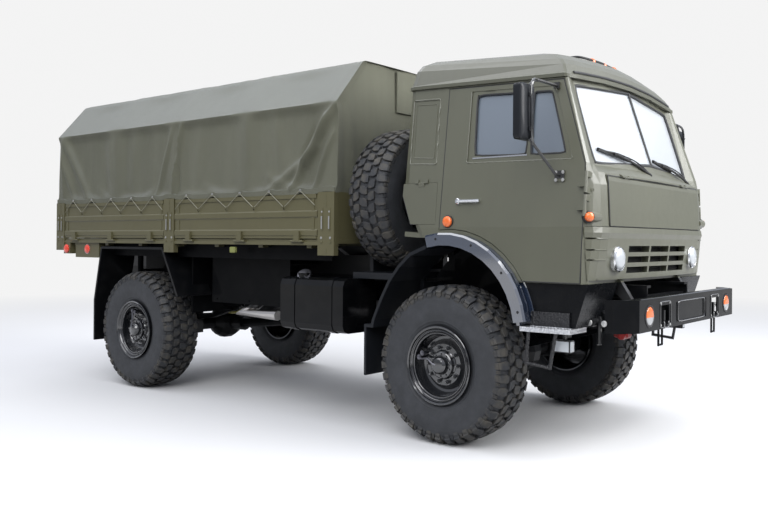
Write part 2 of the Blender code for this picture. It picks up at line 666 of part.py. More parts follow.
def build_spare(truck):
    piece("spare_tyre", "tyre_rubber", truck, [lugged_tyre("x", (SPARE_Y, SPARE_Z), SPARE_X)])
    shapes = [turned("x", rim_profile(SPARE_X, -1), (SPARE_Y, SPARE_Z), RIM_FACETS)]
    back = SPARE_X - 0.19
    stand = (back - 0.075, back - 0.035)
    piece("spare_rim", "black_paint", truck, shapes)
    shapes = [box((stand[0] - 0.02, stand[1] + 0.40), (-1.05, 0.43), (FRAME_TOP + SEAT_GAP, 1.335))]
    shapes.append(box(stand, (SPARE_Y - 0.24, SPARE_Y + 0.24), (1.32, 2.28)))
    shapes.append(rod("x", (SPARE_Y, SPARE_Z), stand[1] - 0.01, back - SEAT_GAP, 0.10, 16))
    cuts = [box((stand[0] - 0.1, stand[1] + 0.1), (SPARE_Y - 0.16, SPARE_Y + 0.16), (1.42, 1.80))]
    piece("spare_carrier", "black_paint", truck, shapes[:2], cuts, after=shapes[2:])


# Cab


def gutter_z(x, y=GUTTER_CORNER_Y):
    """Height of the seam between walls and roof: it falls towards the front, and is crowned there."""
    slope = (GUTTER_FRONT[1] - GUTTER_REAR[1]) / (GUTTER_FRONT[0] - GUTTER_REAR[0])
    crown = GUTTER_CROWN * max(0.0, 1 - (y / GUTTER_CORNER_Y) ** 2) if x > 0 else 0.0
    return GUTTER_REAR[1] + slope * (x - GUTTER_REAR[0]) + crown


def cab_outline(rear, half, seam, corner, frame, middle):
    """One level of the cab seen from above, as (x, y) points all the way round."""
    c = REAR_CORNER
    left = [
        (rear, half - c), (rear + 0.3 * c, half - 0.3 * c), (rear + c, half), (seam, half),
        ((seam + corner[0]) / 2 + 0.008, (half + corner[1]) / 2 + 0.012), corner, frame,
        (frame[0] + 0.7 * (middle - frame[0]), frame[1] * 0.5),
    ]
    return left + [(middle, 0)] + [(x, -y) for x, y in reversed(left)]


# Cab levels: height, rear x, half width, x where the front corner starts, corner,
# edge of the windshield's frame, x in the middle
CAB_LEVELS = (
    (1.31, -0.285, 1.165, 1.206, (1.250, 1.035), (1.262, 0.93), 1.300),
    (1.64, -0.285, 1.170, 1.226, (1.296, 1.028), (1.308, 0.93), 1.335),
    (1.72, -0.323, 1.170, 1.229, (1.300, 1.025), (1.312, 0.93), 1.342),
    (2.03, -0.480, 1.1333, 1.230, (1.282, 1.005), (1.298, 0.93), 1.325),
    (2.12, -0.480, 1.1226, 1.228, (1.262, 1.000), (1.275, 0.93), 1.305),
    (2.18, -0.480, 1.1155, 1.224, (1.234, 1.030), (1.196, 0.93), 1.262),
    (2.92, -0.480, 1.0279, 0.983, (0.990, 0.978), (0.968, 0.90), 1.018),
)


def cab_ring(level, inset, front_inset, lift=0.0):
    height, rear, half, seam, corner, frame, middle = level
    if inset:
        front = min(middle - front_inset, CAB_FRONT_WALL - CAB_WALL)
        rear, half = rear + inset, half - inset
        corner = (min(corner[0] - front_inset, front - 0.005), corner[1] - inset)
        frame = (min(frame[0] - 0.05, front - 0.002), frame[1] - inset)
        seam, middle = min(seam - front_inset, corner[0] - 0.005), front
    outline = cab_outline(rear, half, seam, corner, frame, middle)
    return [(x, y, height + lift) for x, y in outline]


def door_outline(grow):
    """The door from the side: upright rear edge, raked front edge, bottom cut round by the arch."""
    start = math.degrees(math.acos((DOOR_REAR - ARCH_CENTRE[0]) / DOOR_ARCH))
    end = math.degrees(math.asin((1.318 - ARCH_CENTRE[1]) / DOOR_ARCH))
    lower = arc(ARCH_CENTRE, DOOR_ARCH - grow, start, end, 7)
    lower[0] = (DOOR_REAR - grow, lower[0][1])
    lower[-1] = (lower[-1][0], 1.318 - grow)
    top = [(x, gutter_z(x) - DOOR_DROP + grow) for x in (0.998 + grow, DOOR_REAR - grow)]
    return lower + [
        (1.203 + grow, 1.318 - grow), (1.2225 + grow, CREASE_Z), (1.2225 + grow, 1.95), (1.214 + grow, 2.175),
    ] + top + [(DOOR_REAR - grow, CREASE_Z + 0.001)]


def side_depth(depth, z):
    """Y of a cab side at a depth under its skin: upright to the crease, leaning inwards above it."""
    return CAB_HALF_WIDTH - depth - max(0.0, z - CREASE_Z) * CAB_LEAN


def side_slab(outer, inner, low, high):
    """Cross section of a cab side between two depths, from below its crease to above it."""
    heights = (low, CREASE_Z, high)
    face = [(side_depth(outer, z), z) for z in heights]
    return face + [(side_depth(inner, z), z) for z in reversed(heights)]


def leaning_prism(side, outline, outer, inner):
    """A flat piece above the crease, given by its (x, z) outline and its two depths under the skin."""
    return loft([[(x, side * side_depth(depth, z), z) for x, z in outline] for depth in (outer, inner)])


DOOR_DROP = 0.018  # from the seam under the roof down to the door's top
DOOR_RECESS = ((0.175, 2.229), (1.112, 2.214), (0.940, 2.775), (0.175, 2.806))
DOOR_RECESS_DEPTH = 0.006
WINDOW_REAR = ((0.242, 2.285), (0.716, 2.267), (0.716, 2.746), (0.229, 2.771))
WINDOW_FRONT = ((0.752, 2.266), (1.053, 2.262), (0.906, 2.737), (0.752, 2.745))
POCKET = ((0.222, 2.262), (1.072, 2.242), (0.921, 2.756), (0.209, 2.790))
POCKET_SEAT = ((0.2225, 2.2625), (1.0712, 2.2427), (0.9205, 2.7555), (0.2095, 2.7893))
GLASS_DEPTH = 0.022
QUARTER_PANEL = ((-0.404, 2.250), (-0.129, 2.236), (-0.135, 2.776), (-0.412, 2.786))
CORNER_LAMP = (1.269, 1.79)
DOOR_LAMP = (0.038, 1.767)
SIDE_FLAP = ((-0.452, 2.084), (-0.102, 2.084), (-0.095, 1.750), (-0.350, 1.750), (-0.452, 1.985))
FLAP_THICKNESS = 0.022
FLAP_GAP = 0.0012
# Windshield opening seen from the front: half width and height at the middle and at the corners
WINDSHIELD = ((0.0, 2.243), (0.921, 2.190), (0.893, 2.797), (0.0, 2.858))


def windshield_outline(grow):
    """The windshield's outline seen from the front, as (y, z) points."""
    half = [(y + (grow if y else 0), z + (grow if z > 2.5 else -grow)) for y, z in WINDSHIELD]
    return half[:1] + [(-y, z) for y, z in half[1:3]] + half[3:] + half[2:0:-1]


def around(outline, grow):
    """An outline pushed out from its middle, for the gap round a panel."""
    middle = [sum(p[i] for p in outline) / len(outline) for i in (0, 1)]
    return [tuple(p[i] + math.copysign(grow, p[i] - middle[i]) for i in (0, 1)) for p in outline]


def build_cab_body(cab):
    outer = loft([cab_ring(level, 0, 0) for level in CAB_LEVELS])
    levels = [cab_ring(CAB_LEVELS[0], CAB_WALL, 0.08, -0.1)]
    levels += [cab_ring(level, CAB_WALL, 0.08) for level in CAB_LEVELS[1:-1]]
    levels.append(cab_ring(CAB_LEVELS[-1], CAB_WALL, 0.06, 0.05))
    hollow = loft(levels)
    # Floor plate over the arches and down into the foot wells
    top = arc(ARCH_CENTRE, ARCH_LINER + 0.055, 100, 35, 6)
    under = arc(ARCH_CENTRE, ARCH_LINER + 0.015, 33.2, 100, 6)
    plate = [(-0.42, 1.69)] + top + [(0.76, 1.352), (1.20, 1.352), (1.20, CAB_FLOOR_Z), (0.72, CAB_FLOOR_Z)]
    plate += under + [(-0.42, 1.65)]
    floor = prism("y", plate, -CAB_HALF_WIDTH + 0.02, CAB_HALF_WIDTH - 0.02)
    w, t = TUNNEL_HALF_WIDTH, CAB_WALL
    hump = ((-w - t, 1.33), (w + t, 1.33), (w + t - 0.04, TUNNEL_TOP + t), (-w - t + 0.04, TUNNEL_TOP + t))
    cover = prism("x", hump, -0.44, TUNNEL_FRONT + t)
    rear_low = prism("y", ((-0.6, 1.2), (-0.6, CAB_REAR_Z), (0.05, CAB_REAR_Z), (0.05, 1.2)), -1.3, 1.3)
    cuts = [rear_low, prism("y", arc(ARCH_CENTRE, ARCH_LINER + 0.012, 0, 360, 30)[:-1], -1.3, 1.3)]
    cuts.append(box((-0.7, TUNNEL_FRONT), (-w, w), (1.1, TUNNEL_TOP)))
    cuts.append(box((CAB_FRONT_WALL, 1.5), (-1.3, 1.3), (1.2, 1.7255)))
    cuts.append(box((CAB_FRONT_WALL, 1.5), (-0.925, 0.925), (1.6, 2.106)))
    cuts.append(prism("x", windshield_outline(0), 0.85, 1.5))
    cuts.append(loft([roof_ring(ROOF_RINGS[0], 0), roof_ring(ROOF_RINGS[0], 0, 0.3)]))
    for side, _ in SIDES:
        slot = door_outline(PANEL_GAP)
        lower = [p for p in slot if p[1] <= CREASE_Z + 0.001]
        upper = [p for p in slot if p[1] > CREASE_Z + 0.001]
        y = mirrored(CAB_HALF_WIDTH - CAB_WALL - PANEL_GAP, CAB_HALF_WIDTH + 0.2, side)
        cuts.append(prism("y", lower, *y))
        rise = [(x, z) for x, z in lower if z >= CREASE_Z]
        ends = [(x, CREASE_Z) for x, _ in rise]
        cuts.append(leaning_prism(side, [ends[0]] + upper + [ends[-1]], -0.2, CAB_WALL + PANEL_GAP))
        cuts.append(leaning_prism(side, around(SIDE_FLAP, 0.004), -0.2, FLAP_THICKNESS))
        cuts.append(leaning_prism(side, QUARTER_PANEL, -0.1, DOOR_RECESS_DEPTH))
    after = [rod("y", CORNER_LAMP, *mirrored(1.02, 1.142, side), 0.038, 12) for side, _ in SIDES]
    for side, _ in SIDES:
        eye = mirrored(0.5606, 0.62, side)
        after.append(rod("y", TILT_PIVOT, eye[0], eye[1], 0.04, 14))
        leg = ((TILT_PIVOT[0] - 0.04, TILT_PIVOT[1]), (TILT_PIVOT[0] + 0.02, TILT_PIVOT[1]),
               (1.235, 1.36), (1.10, 1.33))
        after.append(prism("y", leg, eye[0] + 0.005, eye[1] - 0.005))
    piece("cab_body", "cab_paint", cab, [outer], [hollow])
    body = bpy.data.objects["cab_body"]
    combine(body, "UNION", [floor, cover])
    combine(body, "DIFFERENCE", cuts)
    combine(body, "UNION", after)


# Roof rings from the gutter up: rear x, half width, x where the front corner starts, corner, frame, middle x,
# height above the gutter at the rear, and height at the front
ROOF_RINGS = (
    (-0.490, 1.054, 1.010, (1.024, 1.000), (1.034, 0.90), 1.064, 0.000, 0.000),
    (-0.490, 1.054, 1.010, (1.024, 1.000), (1.034, 0.90), 1.064, 0.026, 0.026),
    (-0.482, 1.034, 1.000, (1.014, 0.982), (1.026, 0.89), 1.058, 0.036, 0.036),
    (-0.472, 0.985, 0.955, (0.975, 0.930), (0.990, 0.84), 1.030, 0.170, 0.105),
    (-0.447, 0.945, 0.905, (0.930, 0.880), (0.945, 0.79), 0.990, 0.225, 0.150),
    (-0.395, 0.880, 0.820, (0.850, 0.800), (0.865, 0.72), 0.925, 0.262, 0.200),
    (-0.280, 0.680, 0.620, (0.680, 0.600), (0.700, 0.54), 0.790, 0.285, 0.245),
)


# Marker lamps on the roof
ROOF_LAMPS_X = 0.78
ROOF_LAMPS_Y = (-0.16, 0.05, 0.25)
ROOF_LAMPS_Z = 3.155


def roof_ring(row, inset, lift=0.0):
    rear, half, seam, corner, frame, middle, rise_rear, rise_front = row
    corner = (corner[0] - inset, corner[1] - inset)
    frame = (frame[0] - inset, frame[1] - inset)
    outline = cab_outline(rear + inset, half - inset, seam - inset, corner, frame, middle - inset)
    ring = []
    for x, y in outline:
        share = (x - rear) / (middle - rear)
        rise = rise_rear + (rise_front - rise_rear) * share
        ring.append((x, y, gutter_z(x, y) + rise + lift))
    return ring


def build_cab_roof(cab):
    outer = loft([roof_ring(row, 0, SEAT_GAP) for row in ROOF_RINGS])
    inner = [roof_ring(ROOF_RINGS[0], 0.06, -0.05)] + [roof_ring(row, 0.06, -0.02) for row in ROOF_RINGS[1:]]
    lamps = []
    for y in ROOF_LAMPS_Y:
        top = ROOF_LAMPS_Z
        dome = ((3.02, 0), (3.02, 0.034), (top - 0.012, 0.032), (top, 0.014), (top, 0))
        lamps.append(turned("z", dome, (ROOF_LAMPS_X, y), 10))
    piece("cab_roof", "cab_paint", cab, [outer], [loft(inner)], after=lamps)


# Outer face of the windshield: x at the bottom and at the top, at its corners and in the middle
WINDSHIELD_CORNER = (1.180, 0.990)
WINDSHIELD_MIDDLE = (1.2345, 1.028)
WINDSHIELD_THICKNESS = 0.012


def build_windshield(cab):
    """Two flat panes in a shallow V with a bar between them, set into the opening."""
    half = windshield_outline(-SEAT_GAP * 2)
    foot, near_low, near_high, head, far_high, far_low = half
    rings = []
    for low, high, x in (
        (near_low, near_high, WINDSHIELD_CORNER), (foot, head, WINDSHIELD_MIDDLE),
        (far_low, far_high, WINDSHIELD_CORNER),
    ):
        rings.append([(x[i] - d, *end) for i, end, d in (
            (0, low, 0), (1, high, 0), (1, high, WINDSHIELD_THICKNESS), (0, low, WINDSHIELD_THICKNESS)
        )])
    bar = []
    for i, z in ((0, foot[1] + 0.003), (1, head[1] - 0.003)):
        x = WINDSHIELD_MIDDLE[i]
        front, back = x + 0.008, x - 0.02
        bar.append([(front, -0.016, z), (front, 0.016, z), (back, 0.016, z), (back, -0.016, z)])
    piece("windshield", "glass", cab, [loft(rings), loft(bar)])


def build_front_lid(cab):
    lid = pivot("front_lid_hinge", (LID_HINGE[0], 0, LID_HINGE[1]), cab)
    outline = ((1.322, 1.732), (1.318, 1.85), (1.306, 2.06), (1.299, 2.090), (1.285, 2.100), (1.255, 2.100),
               (1.255, 2.086), (1.272, 2.080), (1.285, 2.04), (1.294, 1.85), (1.298, 1.732))
    half = 0.916
    moving, fixed = hinge_spans((-0.6, 0.6), 0.08)
    shapes = [prism("y", outline, -half, half)]
    shapes += hinge_eyes("y", LID_HINGE, LID_EYE, 210, 0.03, moving)
    piece("front_lid", "cab_paint", lid, shapes)
    combine(bpy.data.objects["cab_body"], "UNION", hinge_eyes("y", LID_HINGE, LID_EYE, 150, 0.035, fixed))


def build_grille_panel(cab):
    """Lower front panel with its louvred corners, lamp holes and three rows of slots."""
    rows = (
        (1.335, -0.285, 1.168, 1.210, 1.258, 1.037, 1.305),
        (1.500, -0.285, 1.170, 1.220, 1.284, 1.032, 1.324),
        (1.640, -0.285, 1.172, 1.228, 1.300, 1.030, 1.338),
        (1.680, -0.285, 1.174, 1.236, 1.314, 1.030, 1.352),
        (1.722, -0.285, 1.172, 1.234, 1.306, 1.028, 1.345),
    )
    rings = []
    for height, rear, half, seam, corner_x, corner_y, middle in rows:
        outline = cab_outline(rear, half, seam, (corner_x, corner_y), (corner_x + 0.012, 0.93), middle)
        rings.append([(x, y, height) for x, y in outline])
    cuts = [box((-1, CAB_FRONT_WALL + SEAT_GAP), (-1.3, 1.3), (1.2, 1.8))]
    cuts.append(box((-1, 1.262), (-1.02, 1.02), (1.2, 1.70)))
    for side, _ in SIDES:
        cuts.append(rod("x", (side * 0.761, 1.486), 1.1, 1.5, 0.098, 16))
        for z in (1.483, 1.556, 1.638):
            cuts.append(box((1.0, 1.5), mirrored(1.075, 1.3, side), (z - 0.006, z + 0.006)))
    for z in (1.395, 1.475, 1.555):
        for y in (-0.40, 0.0, 0.40):
            half = 0.185
            cuts.append(box((1.2, 1.5), (y - half, y + half), (z - 0.018, z + 0.030)))
    piece("grille_panel", "cab_paint", cab, [loft(rings)], cuts)
    lamp = (
        (1.2635, 0), (1.2635, 0.097), (1.318, 0.097), (1.330, 0.092), (1.334, 0.080), (1.345, 0.045),
        (1.348, 0),
    )
    for side, which in SIDES:
        centre = (side * 0.761, 1.486)
        shape = turned("x", lamp, centre, 16)
        seat = box((CAB_FRONT_WALL + SEAT_GAP, 1.27), (centre[0] - 0.05, centre[0] + 0.05), (1.44, 1.53))
        piece(f"headlamp_{which}", "lamp_glass", cab, [shape, seat])


def build_doors(cab):
    for side, which in SIDES:
        hinge = (DOOR_HINGE_X, side * side_depth(-DOOR_HINGE_OUT, DOOR_HINGE_Z))
        door = pivot(f"door_{which}_hinge", (hinge[0], hinge[1], DOOR_HINGE_Z), cab)
        turn = Matrix.Rotation(side * math.atan(CAB_LEAN), 4, "X")
        middle = Vector((0, hinge[1], DOOR_HINGE_Z))
        lean = Matrix.Translation(middle) @ turn @ Matrix.Translation(-middle)
        slab = side_slab(0.0, CAB_WALL, 1.2, 2.9)
        shell = prism("x", [(side * y, z) for y, z in slab], -0.2, 1.4)
        blank = prism("y", door_outline(0), *mirrored(0.9, 1.3, side))
        cuts = []
        for window in (WINDOW_REAR, WINDOW_FRONT):
            cuts.append(prism("y", window, *mirrored(0.9, 1.3, side)))
        cuts.append(leaning_prism(side, DOOR_RECESS, -0.1, DOOR_RECESS_DEPTH))
        cuts.append(leaning_prism(side, POCKET, GLASS_DEPTH, CAB_WALL + 0.02))
        moving, fixed = hinge_spans(DOOR_HINGE_HEIGHTS, 0.07)
        pads = []
        for m in DOOR_HINGE_HEIGHTS:
            y = mirrored(side_depth(0.01, m), side_depth(-DOOR_HINGE_OUT + 0.004, m), side)
            pads.append(box((1.186, 1.208), y, (m - 0.034, m + 0.034)))
        skin = side_depth(0, 1.927)
        handle = box((0.12, 0.327), mirrored(skin - 0.004, skin + 0.024, side), (1.915, 1.94))
        skin = side_depth(0, DOOR_LAMP[1])
        lamp = rod("y", DOOR_LAMP, *mirrored(skin - 0.01, skin + 0.02, side), 0.042, 12)
        obj = piece(f"door_{which}", "cab_paint", door, [shell], within=[blank])
        combine(obj, "DIFFERENCE", cuts)
        head_y = side * 1.47
        head = rounded_rectangle((0.89, 1.38), (0.945, 1.56), 0.02)
        arms = [
            tube([(1.021, side * 1.125, 2.09), (1.015, side * 1.19, 2.10), (0.955, side * 1.40, 2.30),
                  (0.93, head_y, 2.36), (0.93, head_y, 2.68), (0.945, side * 1.36, 2.765),
                  (0.955, side * 1.05, 2.765)], 0.011, 8),
            box((0.981, 1.061), mirrored(1.115, 1.140, side), (2.05, 2.13)),
            box((0.930, 0.975), mirrored(1.035, 1.070, side), (2.745, 2.790)),
            prism("z", [(x, side * y) for x, y in head], 2.33, 2.71),
        ]
        leaves = hinge_eyes("z", hinge, DOOR_EYE, 180, 0.055, moving)
        inwards = hinge_eyes("z", hinge, DOOR_EYE, -90 * side, 0.08, fixed)
        for shape in leaves + inwards:
            shape.transform(lean)
        combine(obj, "UNION", leaves + pads + [handle, lamp] + arms)
        sheet = leaning_prism(side, POCKET_SEAT, GLASS_DEPTH + SEAT_GAP, GLASS_DEPTH + 0.006)
        piece(f"door_glass_{which}", "glass", door, [sheet])
        combine(bpy.data.objects["cab_body"], "UNION", inwards)


def build_side_flaps(cab):
    for side, which in SIDES:
        hinge = (side * (side_depth(0, SIDE_FLAP[0][1]) + 0.0065), SIDE_FLAP[0][1] + 0.0015)
        flap = pivot(f"side_flap_{which}_hinge", (-0.26, hinge[0], hinge[1]), cab)
        panel = leaning_prism(side, around(SIDE_FLAP, -0.002), 0, FLAP_THICKNESS - FLAP_GAP)
        moving, fixed = hinge_spans((-0.26,), 0.06)
        below = hinge_eyes("x", hinge, FLAP_EYE, facing(-100, side), 0.03, moving)
        above = hinge_eyes("x", hinge, FLAP_EYE, facing(100, side), 0.03, fixed)
        piece(f"side_flap_{which}", "cab_paint", flap, [panel] + below)
        combine(bpy.data.objects["cab_body"], "UNION", above)


def build_cab_arches(cab):
    """Black arch round the front half of the wheel, with its skirt and the step below the door."""
    for side, which in SIDES:
        lip = [(ARCH_INNER, side * 1.215), (ARCH_INNER, side * ARCH_OUT_Y),
               (ARCH_OUTER - 0.015, side * ARCH_OUT_Y), (ARCH_OUTER, side * (ARCH_OUT_Y - 0.015)),
               (ARCH_OUTER, side * 1.1706), (ARCH_OUTER - 0.035, side * 1.1706),
               (ARCH_OUTER - 0.035, side * 1.215)]
        shapes = [swept(lip, ARCH_CENTRE, 8, 104, 10)]
        liner = [(ARCH_INNER + 0.012, side * 0.60), (ARCH_INNER + 0.012, side * 1.225),
                 (ARCH_LINER, side * 1.225), (ARCH_LINER, side * 0.60)]
        shapes.append(swept(liner, ARCH_CENTRE, 6, 104, 10))
        skirt = [(1.157, 0.992), (1.262, 1.3095)] + arc(ARCH_CENTRE, ARCH_LINER - 0.012, 34.4, 7, 4)
        shapes.append(prism("y", skirt, *mirrored(1.10, 1.14, side)))
        front = ((1.157, 0.992), (1.262, 1.3095), (1.225, 1.3095), (1.12, 0.992))
        shapes.append(prism("y", front, *mirrored(0.66, 1.14, side)))
        piece(f"cab_arch_{which}", "black_paint", cab, shapes)
        tread = box((0.75, 1.165), mirrored(0.98, 1.235, side), (0.955, 0.99))
        back = box((0.80, 1.12), mirrored(1.1405, 1.16, side), (0.98, 1.10))
        stirrup = tube([(0.80, side * 1.19, 0.97), (0.78, side * 1.19, 0.72), (0.98, side * 1.19, 0.70),
                        (1.03, side * 1.19, 0.97)], 0.014, 8)
        lamp = box((0.985, 1.115), mirrored(1.08, 1.14, side), (0.81, 0.90))
        stem = box((1.04, 1.06), mirrored(1.09, 1.11, side), (0.88, 0.97))
        piece(f"step_{which}", "bright_metal", cab, [tread, back, stirrup, lamp, stem])


def build_cab_inside(cab):
    """Seats, dashboard and steering wheel that show through the glass."""
    # Seats: name, low y, high y
    seats = (("seat_driver", 0.50, 1.00), ("seat_passenger", -1.04, -0.50))
    for name, low, high in seats:
        cushion = rounded_rectangle((0.02, 1.80), (0.50, 1.93), 0.05)
        back = [(-0.06, 1.86), (0.08, 1.86), (-0.10, 2.48), (-0.22, 2.48)]
        base = box((0.10, 0.42), (low + 0.06, high - 0.06), (1.72, 1.83))
        shapes = [prism("y", cushion, low, high), prism("y", back, low + 0.01, high - 0.01), base]
        foot = arc(ARCH_CENTRE, ARCH_LINER + 0.055 + SEAT_GAP, 100, 35, 6)[1:3]
        shapes.append(prism("y", foot + [(foot[1][0], 1.75), (foot[0][0], 1.75)], low + 0.10, high - 0.10))
        piece(name, "trim", cab, shapes)
    cowl = [
        (1.1825, 1.95), (1.1825, 2.10), (1.11, 2.17), (1.03, 2.18), (0.95, 2.15), (0.90, 2.05), (1.00, 1.95),
    ]
    shapes = [prism("y", cowl, -0.94, 0.94)]
    wheel = Vector((0.72, 0.72, 2.16))
    lean = math.radians(30)

    def on_wheel(degrees, reach):
        turn = math.radians(degrees)
        along = math.cos(turn)
        return wheel + reach * Vector((along * math.cos(lean), math.sin(turn), along * math.sin(lean)))

    shapes.append(tube([on_wheel(30 * i, 0.22) for i in range(12)], 0.014, 5, closed=True))
    down = Vector((math.sin(lean), 0, -math.cos(lean)))
    shapes.append(tube([wheel - 0.02 * down, wheel + 0.03 * down, (1.00, 0.72, 1.98)], 0.028, 8))
    for degrees in (90, 210, 330):
        shapes.append(tube([on_wheel(degrees, 0.01), on_wheel(degrees, 0.22)], 0.009, 6))
    piece("dashboard", "trim", cab, shapes)


# Cargo body

# Posts along each side: middle x and width
POSTS = ((-1.240, 0.200), (-3.535, 0.170), (-5.700, 0.175))
# Boards: name, rear x, front x
BOARDS = (("front", -3.445, -1.345), ("rear", -5.608, -3.625))


BEARERS = 7


def build_platform(truck):
    half = BODY_HALF_WIDTH
    edge = BODY_HALF_WIDTH - EDGE_SETBACK
    x = (BODY_REAR + EDGE_SETBACK, BODY_FRONT)
    shapes = [box(x, (-edge + 0.01, edge - 0.01), (1.585, FLOOR_TOP))]
    planking = (BODY_REAR + 0.06, BODY_FRONT - 0.06)
    shapes.append(box(planking, (-LOAD_HALF_WIDTH, LOAD_HALF_WIDTH), (FLOOR_TOP - 0.01, LOAD_TOP)))
    for side, _ in SIDES:
        rail = ((edge - 0.05, RAIL_BOTTOM), (edge, RAIL_BOTTOM), (edge, 1.60), (edge - 0.05, 1.60))
        shapes.append(prism("x", [(side * y, z) for y, z in rail], *x))
        beam = mirrored(0.37, 0.45, side)
        shapes.append(box((BODY_REAR + 0.12, BODY_FRONT - 0.03), beam, (FRAME_TOP + SEAT_GAP, 1.50)))
        for middle, width in POSTS:
            y = mirrored(half - 0.055, half - 0.001, side)
            shapes.append(box((middle - width / 2, middle + width / 2), y, (1.48, POST_TOP)))
    for i in range(BEARERS):
        middle = BODY_FRONT - 0.36 - i * (BODY_FRONT - BODY_REAR - 0.72) / (BEARERS - 1)
        bearer = ((-1.20, 1.59), (1.20, 1.59), (1.20, 1.542), (0.815, 1.542), (0.70, 1.475), (-0.70, 1.475),
                  (-0.815, 1.542), (-1.20, 1.542))
        shapes.append(prism("x", bearer, middle - 0.03, middle + 0.03))
    for side, _ in SIDES:
        centre = (side * BOARD_HINGE_Y, BOARD_HINGE_Z)
        for _, rear, front in BOARDS:
            fixed = hinge_spans(hinge_places(rear, front), BOARD_EYE_WIDTH)[1]
            shapes += hinge_eyes("x", centre, BOARD_EYE, 90 + 90 * side, 0.035, fixed)
    fixed = hinge_spans(TAILGATE_HINGES, BOARD_EYE_WIDTH)[1]
    shapes += hinge_eyes("y", (GATE_HINGE_X, BOARD_HINGE_Z), BOARD_EYE, 0, 0.035, fixed)
    # Rear lamps on each side: low and high x of the box
    for side, _ in SIDES:
        shapes.append(box((-5.41, -4.91), mirrored(1.14, 1.215, side), (1.40, 1.575)))
        shapes.append(box((-5.64, -5.50), mirrored(1.10, 1.235, side), (1.44, 1.575)))
    piece("platform", "body_paint", truck, shapes)


TAILGATE_HINGES = (-0.85, 0.0, 0.85)


def hinge_places(low, high):
    return [low + (high - low) * share for share in (0.12, 0.5, 0.88)]


def board_section(outer, inner, low, high):
    """Cross section of a pressed board with two ribs standing out from its outer face."""
    rib = 0.010
    points = [(inner, low), (outer, low)]
    for z in (1.679, 1.848):
        points += [(outer, z - 0.035), (outer + rib, z - 0.022), (outer + rib, z + 0.022), (outer, z + 0.035)]
    return points + [(outer, high), (inner, high)]


def build_boards(truck):
    outer = BODY_HALF_WIDTH - 0.012
    section = board_section(outer, outer - BOARD_THICKNESS, FLOOR_TOP + 0.006, BOARD_TOP)
    for side, which in SIDES:
        centre = (side * BOARD_HINGE_Y, BOARD_HINGE_Z)
        for name, rear, front in BOARDS:
            board = pivot(f"sideboard_{name}_{which}_hinge", ((rear + front) / 2, *centre), truck)
            shapes = [prism("x", [(side * y, z) for y, z in section], rear + PANEL_GAP, front - PANEL_GAP)]
            moving = hinge_spans(hinge_places(rear, front), BOARD_EYE_WIDTH)[0]
            shapes += hinge_eyes("x", centre, BOARD_EYE, 90, 0.09, moving)
            piece(f"sideboard_{name}_{which}", "body_paint", board, shapes)
    head = box((BODY_FRONT - 0.045, BODY_FRONT - 0.010), (-1.19, 1.19), (FLOOR_TOP + SEAT_GAP, POST_TOP))
    piece("headboard", "body_paint", truck, [head])
    gate = pivot("tailgate_hinge", (GATE_HINGE_X, 0, BOARD_HINGE_Z), truck)
    face = BODY_REAR + 0.012
    section = board_section(face, face + BOARD_THICKNESS, FLOOR_TOP + 0.006, BOARD_TOP)
    section = [(2 * face - x if x != face + BOARD_THICKNESS else x, z) for x, z in section]
    shapes = [prism("y", section, -1.185, 1.185)]
    moving = hinge_spans(TAILGATE_HINGES, BOARD_EYE_WIDTH)[0]
    shapes += hinge_eyes("y", (GATE_HINGE_X, BOARD_HINGE_Z), BOARD_EYE, 90, 0.09, moving)
    piece("tailgate", "body_paint", gate, shapes)


def tarp_section(inset, low):
    eave_y, eave_z = TARP_EAVE
    top_y, top_z = TARP_TOP
    eave = (eave_y - inset, eave_z - inset * 0.4)
    half = [(eave_y + 0.008 - inset, low), eave, (top_y - inset * 0.6, top_z - inset)]
    return half + [(-y, z) for y, z in reversed(half)]


def build_tarp(truck):
    low = POST_TOP + SEAT_GAP
    outer = prism("x", tarp_section(0, low), BODY_REAR - 0.004, BODY_FRONT + 0.004)
    rear, front = BODY_REAR - 0.004 + TARP_WALL, BODY_FRONT + 0.004 - TARP_WALL
    inner = prism("x", tarp_section(TARP_WALL, low - 0.2), rear, front)
    piece("tarp", "canvas", truck, [outer], [inner])
    bow_radius = 0.016
    inset = TARP_WALL + bow_radius + 0.001
    places = [BODY_FRONT - 0.10 - i * (BODY_FRONT - BODY_REAR - 0.2) / 4 for i in range(5)]
    shapes = []
    for x in places:
        half = tarp_section(inset, FLOOR_TOP + SEAT_GAP * 3)
        half = [(math.copysign(1.160, half[0][0]), half[0][1])] + half[1:5] + [(-1.160, half[5][1])]
        shapes.append(tube([(x, y, z) for y, z in half], bow_radius, 4))
    for y, z in tarp_section(inset, 0)[1:5]:
        bar = (y * 0.998, z - 0.012)
        shapes.append(tube([(places[0] + 0.006, *bar), (places[-1] - 0.006, *bar)], 0.012, 4))
    piece("tarp_bows", "body_paint", truck, shapes)


def build_truck():
    start_scene()
    truck = pivot("truck", (0, 0, 0))
    build_frame(truck)
    build_front_bumper(truck)
    build_powertrain(truck)
    knuckles = build_steering(truck)
    build_wheels(truck, knuckles)
    build_chassis_fittings(truck)
    build_guards(truck)
    build_spare(truck)
    cab = pivot("cab_tilt", (TILT_PIVOT[0], 0, TILT_PIVOT[1]), truck)
    build_cab_body(cab)
    build_cab_roof(cab)
    build_windshield(cab)
    build_front_lid(cab)
    build_grille_panel(cab)
    build_doors(cab)
    build_side_flaps(cab)
    build_cab_arches(cab)
    build_cab_inside(cab)
    build_platform(truck)
    build_boards(truck)
    build_tarp(truck)


build_truck()
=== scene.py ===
"""Finish and fine parts of a two-axle military cargo truck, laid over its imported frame.

Places are written in metres from the front axle: x forwards, y to the truck's left, z up from the ground.
The function at() turns them into the frame's own coordinates.
"""

import json
import math

import bpy
from mathutils import Matrix, Vector, noise
from mathutils.bvhtree import BVHTree

